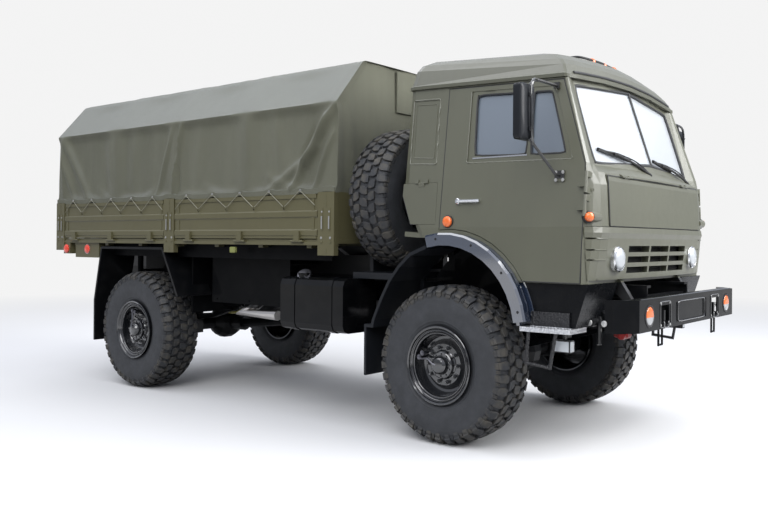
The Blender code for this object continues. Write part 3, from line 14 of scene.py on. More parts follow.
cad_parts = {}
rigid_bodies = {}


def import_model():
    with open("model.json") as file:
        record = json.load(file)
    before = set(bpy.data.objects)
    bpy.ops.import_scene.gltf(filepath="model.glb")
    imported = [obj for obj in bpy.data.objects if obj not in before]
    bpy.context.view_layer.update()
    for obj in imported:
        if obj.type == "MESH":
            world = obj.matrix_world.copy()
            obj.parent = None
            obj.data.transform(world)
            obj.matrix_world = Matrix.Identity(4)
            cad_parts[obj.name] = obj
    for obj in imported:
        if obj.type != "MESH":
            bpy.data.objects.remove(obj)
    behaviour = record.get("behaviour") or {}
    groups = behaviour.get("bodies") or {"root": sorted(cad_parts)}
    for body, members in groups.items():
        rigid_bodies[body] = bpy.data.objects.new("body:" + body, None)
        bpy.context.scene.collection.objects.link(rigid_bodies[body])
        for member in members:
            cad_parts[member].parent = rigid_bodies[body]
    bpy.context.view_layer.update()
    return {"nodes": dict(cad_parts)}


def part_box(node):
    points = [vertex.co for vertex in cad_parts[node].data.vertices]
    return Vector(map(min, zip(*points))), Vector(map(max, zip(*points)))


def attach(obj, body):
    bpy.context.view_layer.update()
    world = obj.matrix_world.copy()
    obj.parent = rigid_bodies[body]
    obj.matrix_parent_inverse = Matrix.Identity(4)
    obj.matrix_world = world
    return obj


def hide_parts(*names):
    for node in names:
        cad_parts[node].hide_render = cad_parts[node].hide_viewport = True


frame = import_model()

bl_info = {
    "name": "Military cargo truck",
    "version": (1, 0, 0),
    "blender": (4, 5, 0),
    "location": "View3D > Sidebar > Truck",
    "description": "Tyres, canvas, glass, lamps and fittings of a military cargo truck",
    "category": "Add Mesh",
}

NODES = frame["nodes"]
SIDES = ((-1, "right"), (1, "left"))


def both(*names):
    """The names of pieces that each side of the truck has."""
    return [f"{name}_{which}" for name in names for _, which in SIDES]


def middle_of(node):
    """The middle of a solid's box."""
    low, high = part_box(node)
    return (low + high) / 2


def body_of(node):
    """The body that a solid rides on."""
    return NODES[node].parent.name.removeprefix("body:")


AXLE_X = middle_of("tyre_front_right").x
TYRE_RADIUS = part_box("tyre_front_right")[1].z / 2
CHASSIS = body_of("frame")
CAB = body_of("cab_body")

# Cab skin: half width up to the crease, and the inward lean above it
CAB_HALF_WIDTH = 1.17
CREASE_Z = 1.72
CAB_SKIRT_Z = 1.308
CAB_LEAN = 0.1184

# Windshield: (x, half y, z) of its lower and upper corners and of its middle
GLASS_CORNERS = ((1.180, 0.921, 2.190), (0.990, 0.893, 2.797))
GLASS_MIDDLE = ((1.2345, 0.0, 2.243), (1.028, 0.0, 2.858))

# Tarp: half widths and heights of the hem, the eave and the top edge
TARP_X = (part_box("tarp")[0].x - AXLE_X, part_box("tarp")[1].x - AXLE_X)
TARP_HEM = (1.2425, 2.026)
TARP_EAVE = (1.235, 2.84)
TARP_TOP = (0.885, 3.256)

# The wheel arches' centre, as (x, z)
ARCH_CENTRE = (0.05, 0.92)

# Radius at the closed end of a turned piece
TIP = 0.0001
AMBER = (0.90, 0.16, 0.015)
UNDER_BLACK = (0.005, 0.005, 0.006)

# Edges sharper than this many degrees stay crisp; the creases of the cab's sides are shallow
SHARP_ANGLES = {
    "cab_body": 48, "cab_roof": 40, "front_bumper": 20, "side_flap_right": 6.4, "side_flap_left": 6.4,
}
# Solids whose faces keep their plain averaged shading, because their rounds are wide
PLAIN_SHADING = ("cab_roof",)

# Tyre section as (half width, radius) pairs, from the middle of the tread to the bead
CARCASS = (
    (0.0, 0.608), (0.10, 0.605), (0.160, 0.594), (0.192, 0.560), (0.203, 0.50), (0.2045, 0.44),
    (0.199, 0.38), (0.186, 0.335), (0.170, 0.306), (0.158, 0.290),
)
# Rings on the sidewall: radius, half width of the ring, and how far it stands
SIDE_RINGS = ((0.545, 0.004, 0.0022), (0.520, 0.0025, 0.0016), (0.352, 0.006, 0.0026), (0.330, 0.003, 0.0020))
# Lugs, as rows of: length across the tread, half width, skew and share of the height
MIDDLE_BLOCK = ((-0.041, 0.029, -0.008, 1.0), (0.0, 0.038, 0.0, 1.0), (0.041, 0.029, 0.008, 1.0))
INNER_BLOCK = ((0.052, 0.027, 0.008, 1.0), (0.086, 0.039, 0.0, 1.0), (0.116, 0.033, -0.008, 1.0))
SHOULDER_BLOCK = (
    (0.127, 0.024, -0.004, 1.0), (0.150, 0.034, 0.0, 1.0), (0.188, 0.030, 0.0, 1.0),
    (0.200, 0.028, 0.0, 0.96), (0.205, 0.028, 0.0, 0.50), (0.224, 0.025, 0.0, 0.36),
    (0.238, 0.022, 0.0, 0.08),
)
SHOULDER_RIB = ((0.188, 0.006, 0.0, 0.62), (0.205, 0.006, 0.0, 0.50), (0.226, 0.005, 0.0, 0.12))

# Rim and hub as (distance out from the wheel's middle, radius) pairs, from the flange inwards to the cap
RIM_FACE = (
    (0.150, 0.290), (0.190, 0.296), (0.204, 0.309), (0.209, 0.311), (0.212, 0.306), (0.206, 0.295),
    (0.193, 0.289), (0.189, 0.283), (0.197, 0.279), (0.199, 0.274), (0.193, 0.268), (0.181, 0.264),
    (0.178, 0.259), (0.184, 0.256), (0.184, 0.251), (0.174, 0.246), (0.150, 0.243), (0.112, 0.236),
    (0.092, 0.222), (0.086, 0.203), (0.094, 0.186), (0.110, 0.174), (0.124, 0.164), (0.126, 0.118),
    (0.134, 0.110), (0.160, 0.106), (0.166, 0.098), (0.166, 0.078), (0.184, 0.072), (0.200, 0.066),
    (0.214, 0.052), (0.218, 0.036), (0.219, TIP),
)
RIM_BACK = (
    (0.150, 0.290), (-0.190, 0.280), (-0.208, 0.292), (-0.206, 0.280), (-0.18, 0.256), (0.05, 0.250),
    (0.07, 0.12), (0.07, TIP),
)
# Inflation pipe from the hub to the valve: distance out, radius, and turn from the valve
INFLATION_PIPE = (
    (0.214, 0.020, 0.0), (0.226, 0.050, -0.1), (0.222, 0.100, -0.30), (0.205, 0.140, -0.10),
    (0.190, 0.172, 0.05), (0.186, 0.205, 0.0),
)

# Folds on each side of the tarp: x and z where a fold starts and where it ends, its width and its depth
SIDE_FOLDS = (
    (-1.15, 2.84, -1.50, 2.30, 0.030, 0.056), (-1.27, 2.72, -1.72, 2.06, 0.034, 0.052),
    (-1.18, 2.56, -1.42, 2.05, 0.026, 0.036), (-1.34, 2.46, -2.02, 2.08, 0.036, 0.030),
    (-1.42, 2.62, -1.60, 2.36, 0.026, -0.018), (-1.95, 2.82, -1.88, 2.30, 0.080, 0.014),
    (-2.35, 2.82, -2.30, 2.40, 0.070, 0.014), (-2.60, 2.60, -2.52, 2.10, 0.10, 0.012),
    (-3.36, 2.84, -3.50, 2.06, 0.024, 0.046), (-3.44, 2.80, -3.41, 2.06, 0.024, -0.026),
    (-3.54, 2.75, -3.80, 2.08, 0.032, 0.030), (-3.05, 2.75, -3.12, 2.20, 0.090, 0.012),
    (-4.20, 2.80, -4.28, 2.20, 0.10, 0.014), (-4.75, 2.80, -4.70, 2.30, 0.08, 0.012),
    (-5.68, 2.80, -5.10, 2.05, 0.055, 0.042), (-5.72, 2.60, -5.42, 2.04, 0.040, 0.030),
    (-5.70, 2.80, -5.66, 2.10, 0.030, 0.022), (-2.05, 2.20, -1.60, 2.06, 0.030, 0.018),
    (-3.00, 2.15, -2.70, 2.05, 0.035, 0.012), (-4.95, 2.18, -4.65, 2.05, 0.035, 0.014),
    (-3.80, 2.16, -4.05, 2.05, 0.035, 0.012),
)
# Height where the tarp's walls turn into its slopes, and the foot of its ends
TARP_TURN_Z, TARP_FOOT_Z = 2.845, 2.036
# The tarp's bows and the body's posts, along x
BOW_PITCH = 1.11325
BOW_X = [-1.236 - BOW_PITCH * i for i in range(5)]
POST_X = (-1.240, -3.535, -5.700)
# Eyelets of the lacing on each board: rear x, front x and how many
LACED = ((-3.44, -1.35, 5), (-5.60, -3.62, 5))
# Latches and hinge knobs along the side boards, and the boards themselves: name, rear x and front x
LATCH_X = (-1.195, -1.285, -3.50, -3.57, -5.665, -5.735)
KNOB_X = (-1.185, -1.295, -3.485, -3.585, -5.655, -5.745)
BOARDS = (("front", -3.445, -1.345), ("rear", -5.608, -3.625))
# Columns of points along the tarp, and rows from its ends' outlines to their middles
TARP_COLUMNS, END_ROWS = 270, 26

# Outlines on the cab's side, as (x, z): panel behind the door, window frame, door gap, windows, flap gap
PANEL_BEAD = ((-0.404, 2.250), (-0.129, 2.236), (-0.135, 2.776), (-0.412, 2.786))
WINDOW_BEAD = ((0.175, 2.229), (1.112, 2.214), (0.940, 2.775), (0.175, 2.806))
DOOR_GAP = (
    (0.620, 1.318), (1.2045, 1.3165), (1.224, 1.72), (1.224, 1.95), (1.2155, 2.175), (1.000, 2.8155),
    (-0.0485, 2.846), (-0.0485, 1.72), (-0.0485, 1.7050),
)
DOOR_WINDOWS = (
    ((0.242, 2.285), (0.716, 2.267), (0.716, 2.746), (0.229, 2.771)),
    ((0.752, 2.266), (1.053, 2.262), (0.906, 2.737), (0.752, 2.745)),
)
FLAP_GAP = ((-0.4535, 2.0855), (-0.1005, 2.0855), (-0.0935, 1.7485), (-0.350, 1.7485), (-0.4535, 1.985))
# Pressed ribs on the front corners: their heights
RIB_HEIGHTS = (1.483, 1.556, 1.638)

# Wipers: pivot on the cowl, and both ends of the blade on the glass
WIPERS = (
    ((1.262, -0.07, 2.150), (1.150, -0.813, 2.305), (1.214, -0.373, 2.248)),
    ((1.232, 0.850, 2.142), (1.232, 0.035, 2.280), (1.210, 0.477, 2.228)),
)
# Mirror: places of its middle and of its stay, as half width, and height of its middle
MIRROR_Y, STAY_Y, MIRROR_Z = 1.470, 1.462, 2.520
# Stay of the mirror, as (x, half width, z)
STAY = (
    (0.955, 1.400, 2.300), (0.972, 1.452, 2.345), (0.975, STAY_Y, 2.50), (0.975, STAY_Y, 2.70),
    (0.968, 1.430, 2.752), (0.948, 1.350, 2.765),
)
HANDLE_Z = 1.9275
# Gap round the front lid, as (y, z), and the height of its middle
LID_GAP = ((-0.918, 1.7295), (0.918, 1.7295), (0.918, 2.1015), (-0.918, 2.1015))
LID_MIDDLE_Z = 1.915

# The sky: the grey that the camera sees, and its strength as a light
SKY_SEEN, SKY_STRENGTH = 0.98, 0.92

# Camera: place from the front axle; turn from +Y towards -X, tilt and roll in radians; lens and sensor in
# millimetres; the photograph's offset from the middle; how far it sees
CAMERA_PLACE = (3.8884, -6.3486, 1.6034)
CAMERA_TURN, CAMERA_TILT, CAMERA_ROLL = 0.6292, 0.0039, 0.0068
CAMERA_LENS = 38.13
CAMERA_SENSOR = 36.0
CAMERA_SHIFT = (-0.0937, -0.0219)
CAMERA_REACH = 200.0

# Soft lamps: name, place, what it looks at, width and power
LAMPS = (
    ("key", (4.6, -8.6, 8.0), (-0.3, 0.0, 1.6), 7.0, 640.0),
    ("front", (10.0, 2.5, 6.6), (1.2, 0.0, 2.1), 6.0, 1220.0),
    ("top", (-1.5, -1.5, 10.0), (-1.5, 0.0, 2.0), 8.0, 300.0),
    ("rim", (-7.0, 6.0, 7.0), (-1.0, 0.0, 2.0), 6.0, 200.0),
)


def at(x, y, z):
    """A point measured from the front axle, in the frame's coordinates."""
    return Vector((x + AXLE_X, y, z))


def skin(z, out=0.0):
    """Distance of the cab's side from the middle at a height."""
    return CAB_HALF_WIDTH - max(0.0, z - CREASE_Z) * CAB_LEAN + out


def surface_of(*names):
    """The solids' faces as one tree, to find where a trim lies on them."""
    points, faces = [], []
    for name in names:
        mesh = NODES[name].data
        base = len(points)
        points += [vertex.co.copy() for vertex in mesh.vertices]
        faces += [tuple(base + index for index in face.vertices) for face in mesh.polygons]
    return BVHTree.FromPolygons(points, faces)


def onto(tree, origin, direction, lift=0.0):
    """Where a straight look from the origin meets the tree, lifted off it; None where it misses."""
    spot, _, _, _ = tree.ray_cast(origin, direction)
    if spot is None:
        return None
    return spot - Vector(direction) * lift


def sides_of(points, closed=True):
    """Each point with the one after it, and the last with the first where the outline is closed."""
    return list(zip(points, points[1:] + points[:1] if closed else points[1:]))


def along_sides(path, shares, closed=True):
    """Points at the given shares of each side of an outline."""
    return [a.lerp(b, share) for a, b in sides_of(path, closed) for share in shares]


def smooth_step(low, high, value):
    """A share that rises softly from 0 at the low value to 1 at the high one."""
    share = min(1.0, max(0.0, (value - low) / (high - low)))
    return share * share * (3 - 2 * share)


class TruckSizes(bpy.types.PropertyGroup):
    """Sizes that a user may want to change."""

    lugs: bpy.props.IntProperty(
        name="Lugs", description="Tread lugs round each tyre", default=38, min=20, max=60
    )
    lug_height: bpy.props.FloatProperty(
        name="Lug height", description="Depth of the tread", default=0.024, unit="LENGTH"
    )
    hub_nuts: bpy.props.IntProperty(
        name="Hub nuts", description="Nuts round each hub", default=10, min=4, max=20
    )
    rope_radius: bpy.props.FloatProperty(
        name="Rope radius", description="Radius of the tarp's lacing", default=0.0030, unit="LENGTH"
    )
    fold_depth: bpy.props.FloatProperty(
        name="Fold depth", description="How far the canvas folds stand", default=1.0, subtype="FACTOR"
    )


class TruckColours(bpy.types.PropertyGroup):
    """Colours that a user may want to change."""

    def tone(label, text, default):
        return bpy.props.FloatVectorProperty(
            name=label, description=text, default=default, size=3, subtype="COLOR", min=0.0, max=1.0
        )

    cab: tone("Cab", "Olive paint of the cab", (0.103, 0.105, 0.070))
    body: tone("Body", "Olive paint of the cargo body", (0.122, 0.112, 0.056))
    canvas: tone("Canvas", "Tarp cloth", (0.138, 0.140, 0.100))
    black: tone("Black", "Enamel of the arches, bumper and chassis", (0.008, 0.009, 0.011))
    rubber: tone("Rubber", "Tyre sidewalls", (0.034, 0.036, 0.040))
    rope: tone("Rope", "Lacing of the tarp", (0.33, 0.32, 0.25))


class Value:
    """One output of a shader tree, so that maths on it is written as Python."""

    def __init__(self, nodes, socket):
        self.nodes = nodes
        self.socket = socket

    def __add__(self, other):
        return self.nodes.maths("ADD", self, other)

    __radd__ = __add__

    def __sub__(self, other):
        return self.nodes.maths("SUBTRACT", self, other)

    def __rsub__(self, other):
        return self.nodes.maths("SUBTRACT", other, self)

    def __mul__(self, other):
        return self.nodes.maths("MULTIPLY", self, other)

    __rmul__ = __mul__

    def __truediv__(self, other):
        return self.nodes.maths("DIVIDE", self, other)

    def __gt__(self, other):
        return self.nodes.maths("GREATER_THAN", self, other)

    def __lt__(self, other):
        return self.nodes.maths("LESS_THAN", self, other)

    def __abs__(self):
        return self.nodes.maths("ABSOLUTE", self)

    def __pow__(self, other):
        return self.nodes.maths("POWER", self, other)


class Nodes:
    """A tree of shader nodes: one method makes any node, and the others are short forms of it."""

    def __init__(self, tree, coordinates):
        self.tree = tree
        self.place = Value(self, self.node("ShaderNodeTexCoord").outputs[coordinates])

    def feed(self, socket, value):
        if isinstance(value, Value):
            self.tree.links.new(value.socket, socket)
        elif socket.type == "RGBA" and len(value) == 3:
            socket.default_value = (*value, 1.0)
        else:
            socket.default_value = value

    def node(self, kind, settings=None, sockets=None):
        """Any node, from its type, its settings, and the values or links of its sockets."""
        made = self.tree.nodes.new(kind)
        for key, value in (settings or {}).items():
            if key == "stops":
                ramp = made.color_ramp.elements
                while len(ramp) < len(value):
                    ramp.new(0.5)
                for element, (position, tone) in zip(ramp, value):
                    element.position = position
                    element.color = (*tone, 1.0) if isinstance(tone, tuple) else (tone, tone, tone, 1.0)
            else:
                setattr(made, key, value)
        for key, value in (sockets or {}).items():
            self.feed(made.inputs[key], value)
        return made

    def maths(self, operation, *values):
        made = self.node("ShaderNodeMath", {"operation": operation}, dict(enumerate(values)))
        return Value(self, made.outputs[0])

    def stretched(self, scale):
        made = self.node("ShaderNodeVectorMath", {"operation": "MULTIPLY"}, {0: self.place, 1: scale})
        return Value(self, made.outputs[0])

    def noise(self, scale, detail=4.0, stretch=(1.0, 1.0, 1.0)):
        sockets = {"Vector": self.stretched(stretch), "Scale": scale, "Detail": detail}
        return Value(self, self.node("ShaderNodeTexNoise", None, sockets).outputs["Fac"])

    def cells(self, scale):
        made = self.node("ShaderNodeTexVoronoi", None, {"Vector": self.place, "Scale": scale})
        return Value(self, made.outputs["Distance"])

    def waves(self, scale, direction, distortion=0.0):
        settings = {"wave_type": "BANDS", "bands_direction": direction}
        sockets = {"Vector": self.place, "Scale": scale, "Distortion": distortion}
        return Value(self, self.node("ShaderNodeTexWave", settings, sockets).outputs["Fac"])

    def ramp(self, value, *stops):
        return Value(self, self.node("ShaderNodeValToRGB", {"stops": stops}, {0: value}).outputs["Color"])

    def mix(self, factor, first, second):
        made = self.node("ShaderNodeMix", {"data_type": "RGBA"}, {0: factor, 6: first, 7: second})
        return Value(self, made.outputs[2])

    def axes(self):
        made = self.node("ShaderNodeSeparateXYZ", None, {0: self.place})
        return [Value(self, output) for output in made.outputs]

    def upward(self):
        """How far a face looks up, from 0 to 1."""
        geometry = self.node("ShaderNodeNewGeometry")
        parts = self.node("ShaderNodeSeparateXYZ", None, {0: Value(self, geometry.outputs["Normal"])})
        return self.maths("MAXIMUM", Value(self, parts.outputs[2]), 0.0)

    def rays(self, first, *others):
        """1 for rays of any of the kinds, and 0 for all others."""
        path = self.node("ShaderNodeLightPath")
        seen = Value(self, path.outputs[first])
        for kind in others:
            seen = self.maths("MAXIMUM", seen, Value(self, path.outputs[kind]))
        return seen


class Finish(Nodes):
    """A material with its Principled shader, and the nodes that feed it."""

    def __init__(self, name, colour, roughness, metallic=0.0, **others):
        self.material = bpy.data.materials.new(name)
        self.material.use_nodes = True
        super().__init__(self.material.node_tree, "Object")
        self.shader = self.tree.nodes["Principled BSDF"]
        self.colour(colour)
        self.roughness(roughness)
        self.metallic(metallic)
        for key, value in others.items():
            self.put(key.replace("_", " "), value)

    def put(self, name, value):
        self.feed(self.shader.inputs[name], value)

    def fed(self, name):
        """What feeds one of the shader's inputs so far."""
        return Value(self, self.shader.inputs[name].links[0].from_socket)

    def colour(self, value):
        self.put("Base Color", value)

    def cover(self, mask, colour):
        """Another colour where the mask is 1."""
        self.colour(self.mix(mask, self.fed("Base Color"), colour))

    def roughness(self, value):
        self.put("Roughness", value)

    def metallic(self, value):
        self.put("Metallic", value)

    def bump(self, height, distance):
        made = self.node("ShaderNodeBump", None, {"Distance": distance, "Height": height})
        self.put("Normal", Value(self, made.outputs[0]))


def shade(colour, factor):
    """A colour made darker or lighter."""
    return tuple(min(1.0, part * factor) for part in colour)


def paint(name, colour, roughness=0.40, shine=0.66):
    """Semi-matt enamel with faint mottling, settled dust and orange peel."""
    made = Finish(
        name, colour, roughness, Specular_IOR_Level=shine, Coat_Weight=shine * 0.5, Coat_Roughness=0.22
    )
    cloud = made.noise(1.7, 5.0)
    tone = made.mix(cloud, shade(colour, 0.88), shade(colour, 1.08))
    streaks = made.ramp(made.noise(7.0, 5.0, (1.8, 1.8, 0.12)), (0.50, 0.0), (0.80, 1.0))
    tone = made.mix(streaks * 0.18, tone, shade(colour, 0.72))
    dust = made.upward() * made.noise(9.0, 6.0) * 0.16
    made.colour(made.mix(dust, tone, (0.26, 0.27, 0.25)))
    made.roughness(made.noise(14.0, 5.0) * 0.16 + (roughness - 0.06))
    made.bump(made.noise(260.0, 2.0) * 0.10 + made.noise(5.0, 2.0), 0.0012)
    return made


def cab_paint(name, colour):
    """Cab paint down to the skirt; the pillars and brackets below it are black."""
    made = paint(name, colour)
    _, _, z = made.axes()
    made.cover(z < CAB_SKIRT_Z, UNDER_BLACK)
    return made


def platform_paint(name, colour):
    """Body paint outside; black under the floor, partly the black paint of the bearers and crossmembers and
    partly painted shade under the floor.
    """
    made = paint(name, colour, 0.46, 0.35)
    _, y, z = made.axes()
    # Black under the floor: the bearers' black paint, and painted shade under the floor.
    made.cover((z < 1.560) * (abs(y) < 1.130), UNDER_BLACK)
    return made


def step_metal(name, colour):
    """Bright tread plate; the bracket above it and the stirrup below it are black."""
    made = metal(name, colour, 0.30, (1.0, 12.0, 12.0))
    _, _, z = made.axes()
    tread = (z > 0.950) * (z < 0.9935)
    made.bump(made.cells(58.0) * 1.6, 0.004)
    made.metallic(tread)
    made.colour(made.mix(tread, (0.010, 0.010, 0.012), made.fed("Base Color")))
    return made


def door_paint(name, colour):
    """Cab paint on the door's skin; its mirror arms are black, its handle is chromed and its lamp amber."""
    made = paint(name, colour)
    x, y, z = made.axes()
    lean = made.maths("MAXIMUM", z - CREASE_Z, 0.0) * CAB_LEAN
    out = abs(y) + lean - CAB_HALF_WIDTH
    black = (out > 0.0115) * (z > 2.046) * (x < AXLE_X + 1.12)
    chrome = (out > 0.001) * (z > 1.905) * (z < 1.95) * (x < AXLE_X + 0.45)
    made.cover(black, (0.010, 0.010, 0.011))
    made.cover(chrome, (0.70, 0.71, 0.72))
    made.roughness(made.fed("Roughness") * (1 - chrome) + chrome * 0.18)
    made.metallic(chrome)
    return made


def enamel(name, colour, roughness=0.16, dust_share=0.20, shine=1.0):
    """Black enamel with a film of dust; shine is the strength of its gloss."""
    made = Finish(name, colour, roughness, Specular_IOR_Level=shine, Coat_Weight=shine, Coat_Roughness=0.07)
    film = made.ramp(made.noise(7.0, 6.0), (0.45, 0.0), (0.85, 1.0)) * dust_share
    made.colour(made.mix(film, colour, (0.060, 0.058, 0.055)))
    made.roughness(made.noise(22.0, 5.0) * 0.16 + (roughness - 0.06))
    made.bump(made.noise(6.0, 3.0) + made.noise(190.0, 2.0) * 0.04, 0.0010)
    return made


def lip_enamel(name, colour):
    """Deep gloss on the arches' rounded lips, whose colour is tinted blue as a painted reflection of the sky;
    the skirts beside them are plain black.
    """
    made = enamel(name, colour, 0.24, 0.10, 0.12)
    made.put("Coat IOR", 2.9)
    x, _, z = made.axes()
    reach = ((x - AXLE_X - ARCH_CENTRE[0]) ** 2.0 + (z - ARCH_CENTRE[1]) ** 2.0) ** 0.5
    lip = reach < 0.785
    made.put("Coat Weight", lip * 0.95)
    # Blue tint on the lips: a painted reflection of the sky.
    made.cover(lip, (0.024, 0.036, 0.066))
    return made


def rubber(name, colour, dusty):
    """Tyre rubber: fine grain, rings of wear, and dust in patches."""
    made = Finish(name, colour, 0.70, Specular_IOR_Level=0.45)
    patches = made.ramp(made.noise(11.0, 7.0), (0.40, 0.0), (0.78, 1.0))
    made.colour(made.mix(patches, colour, dusty))
    made.roughness(made.noise(30.0, 4.0) * 0.24 + 0.48)
    made.bump(made.noise(420.0, 3.0) * 0.4 + made.noise(46.0, 4.0), 0.0013)
    return made


def canvas(name, colour):
    """Tarpaulin: plain weave, cloudy fading, damp stains towards the hem, and painted sky light on faces that
    look up.
    """
    made = Finish(name, colour, 0.66, Specular_IOR_Level=0.35, Sheen_Weight=0.12, Sheen_Roughness=0.4)
    fading = made.noise(1.3, 6.0, (1.0, 1.0, 0.45))
    tone = made.mix(fading, shade(colour, 0.84), shade(colour, 1.14))
    streaks = made.ramp(made.noise(5.0, 5.0, (1.6, 1.6, 0.14)), (0.42, 0.0), (0.70, 1.0))
    tone = made.mix(streaks * 0.30, tone, shade(colour, 1.30))
    _, _, z = made.axes()
    low = made.ramp((z - 2.0) * 2.2, (0.0, 1.0), (0.55, 0.0))
    tone = made.mix(low * made.noise(4.0, 6.0) * 0.45, tone, shade(colour, 0.62))
    # Faces that look up are made lighter: painted sky light.
    painted_top_light = made.ramp(made.upward() + made.noise(1.1, 5.0) * 0.12 - 0.06, (0.18, 0.0), (0.62, 1.0))
    made.colour(made.mix(painted_top_light * 0.85, tone, (0.235, 0.245, 0.225)))
    made.roughness(made.noise(8.0, 5.0) * 0.22 + 0.52)
    weave = made.waves(330.0, "X") + made.waves(330.0, "Z") + made.waves(330.0, "Y")
    made.bump(weave * 0.10 + made.noise(3.4, 6.0, (1.0, 1.0, 0.4)) * 2.2, 0.0038)
    return made


def glass(name, colour, alpha, roughness=0.04):
    """Window glass that shows the bright sky and, less, what is behind it; its colour lightens upwards as a
    painted reflection of the sky.
    """
    made = Finish(name, colour, roughness, Specular_IOR_Level=0.8, Coat_Weight=1.0, Coat_Roughness=0.02)
    _, _, z = made.axes()
    # Colour lighter towards the top: a painted reflection of the sky.
    made.colour(made.mix(made.ramp((z - 2.1) * 1.2, (0.0, 0.0), (1.0, 1.0)), shade(colour, 0.88), colour))
    made.put("Alpha", alpha)
    made.roughness(made.noise(3.0, 4.0) * 0.04 + roughness)
    made.material.surface_render_method = "DITHERED"
    return made


def lens(name, colour, glow=0.0):
    """Moulded lamp lens with fine prisms."""
    made = Finish(name, colour, 0.16, Coat_Weight=0.8, Coat_Roughness=0.05)
    ribs = made.waves(34.0, "Y")
    made.colour(made.mix(ribs * 0.45, shade(colour, 1.12), shade(colour, 0.74)))
    made.bump(ribs + made.waves(34.0, "Z") * 0.5, 0.0010)
    if glow:
        made.put("Emission Color", colour)
        made.put("Emission Strength", glow)
    return made


def metal(name, colour, roughness, brushed=(1.0, 1.0, 1.0)):
    """Bare or plated metal with fine scratches."""
    made = Finish(name, colour, roughness, 1.0)
    scratches = made.noise(90.0, 5.0, brushed)
    made.colour(made.mix(scratches * 0.6, colour, shade(colour, 0.62)))
    made.roughness(scratches * 0.25 + (roughness - 0.08))
    made.bump(scratches, 0.0004)
    return made


def plain(name, colour, roughness, grain=240.0, depth=0.0006):
    """Moulded plastic, seal rubber or cloth with a fine grain."""
    made = Finish(name, colour, roughness, Specular_IOR_Level=0.4)
    made.colour(made.mix(made.noise(12.0, 5.0), shade(colour, 0.82), shade(colour, 1.18)))
    made.roughness(made.noise(25.0, 4.0) * 0.16 + (roughness - 0.05))
    made.bump(made.noise(grain, 3.0), depth)
    return made


def two_tone(name, pipe, silencer, height):
    """The bright exhaust pipe at the bottom, and the black silencer above a height."""
    made = metal(name, pipe, 0.30, (1.0, 9.0, 9.0))
    _, _, z = made.axes()
    above = z > height
    made.cover(above, silencer)
    made.metallic(1 - above)
    return made


def indicator_lens(name, amber, clear, height):
    """Front indicator: amber above and clear below."""
    made = lens(name, amber)
    _, _, z = made.axes()
    made.colour(made.mix(z > height, clear, made.fed("Base Color")))
    return made


FINISHES = {}


def make_finishes():
    """One material for each finish, in the colours of the panel."""
    colours = bpy.context.scene.truck_colours
    cab, body, cloth = tuple(colours.cab), tuple(colours.body), tuple(colours.canvas)
    black, tyre = tuple(colours.black), tuple(colours.rubber)
    FINISHES.update({
        "cab": cab_paint("cab_enamel", cab),
        # The roof has the cab's paint darkened: painted shade on the roof.
        "roof": paint("roof_enamel", shade(cab, 0.84)),
        "door": door_paint("door_enamel", cab),
        "body": paint("body_enamel", body, 0.46, 0.35),
        "platform": platform_paint("platform_enamel", body),
        "lip": lip_enamel("black_lip", shade(black, 0.6)),
        "gloss": enamel("black_gloss", black, 0.10, 0.10, 0.85),
        "bumper": enamel("black_bumper", shade(black, 0.55), 0.20, 0.10, 0.07),
        "tank": enamel("black_tank", shade(black, 0.4), 0.10, 0.10, 0.13),
        "semi": enamel("black_semi", shade(black, 1.8), 0.36, 0.08, 0.12),
        "shaded": enamel("black_shaded", shade(black, 0.3), 0.55, 0.06, 0.05),
        "chassis": enamel("chassis_black", shade(black, 0.45), 0.42, 0.14, 0.14),
        "sidewall": rubber("sidewall_rubber", tyre, shade(tyre, 1.5)),
        "tread": rubber("tread_rubber", shade(tyre, 0.90), (0.098, 0.088, 0.070)),
        "canvas": canvas("tarp_canvas", cloth),
        # The windshield's pale colour and the side glass's blue-grey colour are painted reflections of the
        # sky.
        "windshield": glass("windshield_glass", (0.78, 0.82, 0.86), 0.82),
        "side_glass": glass("side_glass", (0.20, 0.24, 0.29), 0.86),
        "amber": lens("amber_lens", AMBER, 0.12),
        "red": lens("red_lens", (0.80, 0.045, 0.012), 0.12),
        "clear": lens("clear_lens", (0.56, 0.59, 0.62)),
        "indicator": indicator_lens("indicator_lens", AMBER, (0.40, 0.41, 0.42), 1.078),
        "chrome": metal("chrome_plate", (0.72, 0.73, 0.75), 0.16),
        "bright_yellow": plain("reflector_tag", (0.26, 0.28, 0.09), 0.5),
        "steel": metal("zinc_steel", (0.50, 0.50, 0.49), 0.36),
        "mirror": metal("mirror_silver", (0.80, 0.82, 0.85), 0.10),
        "dark_metal": metal("dark_steel", (0.17, 0.17, 0.19), 0.30),
        "alloy": step_metal("alloy_plate", (0.62, 0.63, 0.65)),
        "exhaust": two_tone("exhaust_metal", (0.60, 0.58, 0.56), (0.006, 0.006, 0.007), 0.925),
        "seal": plain("seal_rubber", (0.035, 0.036, 0.038), 0.55),
        "plastic": plain("black_plastic", (0.012, 0.012, 0.013), 0.45),
        # Near-black radiator core: its colour is partly painted shade.
        "dark_core": plain("radiator_core", (0.003, 0.003, 0.003), 0.70),
        "seat": plain("seat_cloth", (0.060, 0.056, 0.046), 0.85, 520.0, 0.0012),
        "rope": plain("lacing_rope", tuple(colours.rope), 0.80, 700.0, 0.0012),
        "red_paint": plain("red_coupling", (0.30, 0.012, 0.010), 0.40),
        "yellow": plain("yellow_line", (0.55, 0.50, 0.17), 0.45),
    })


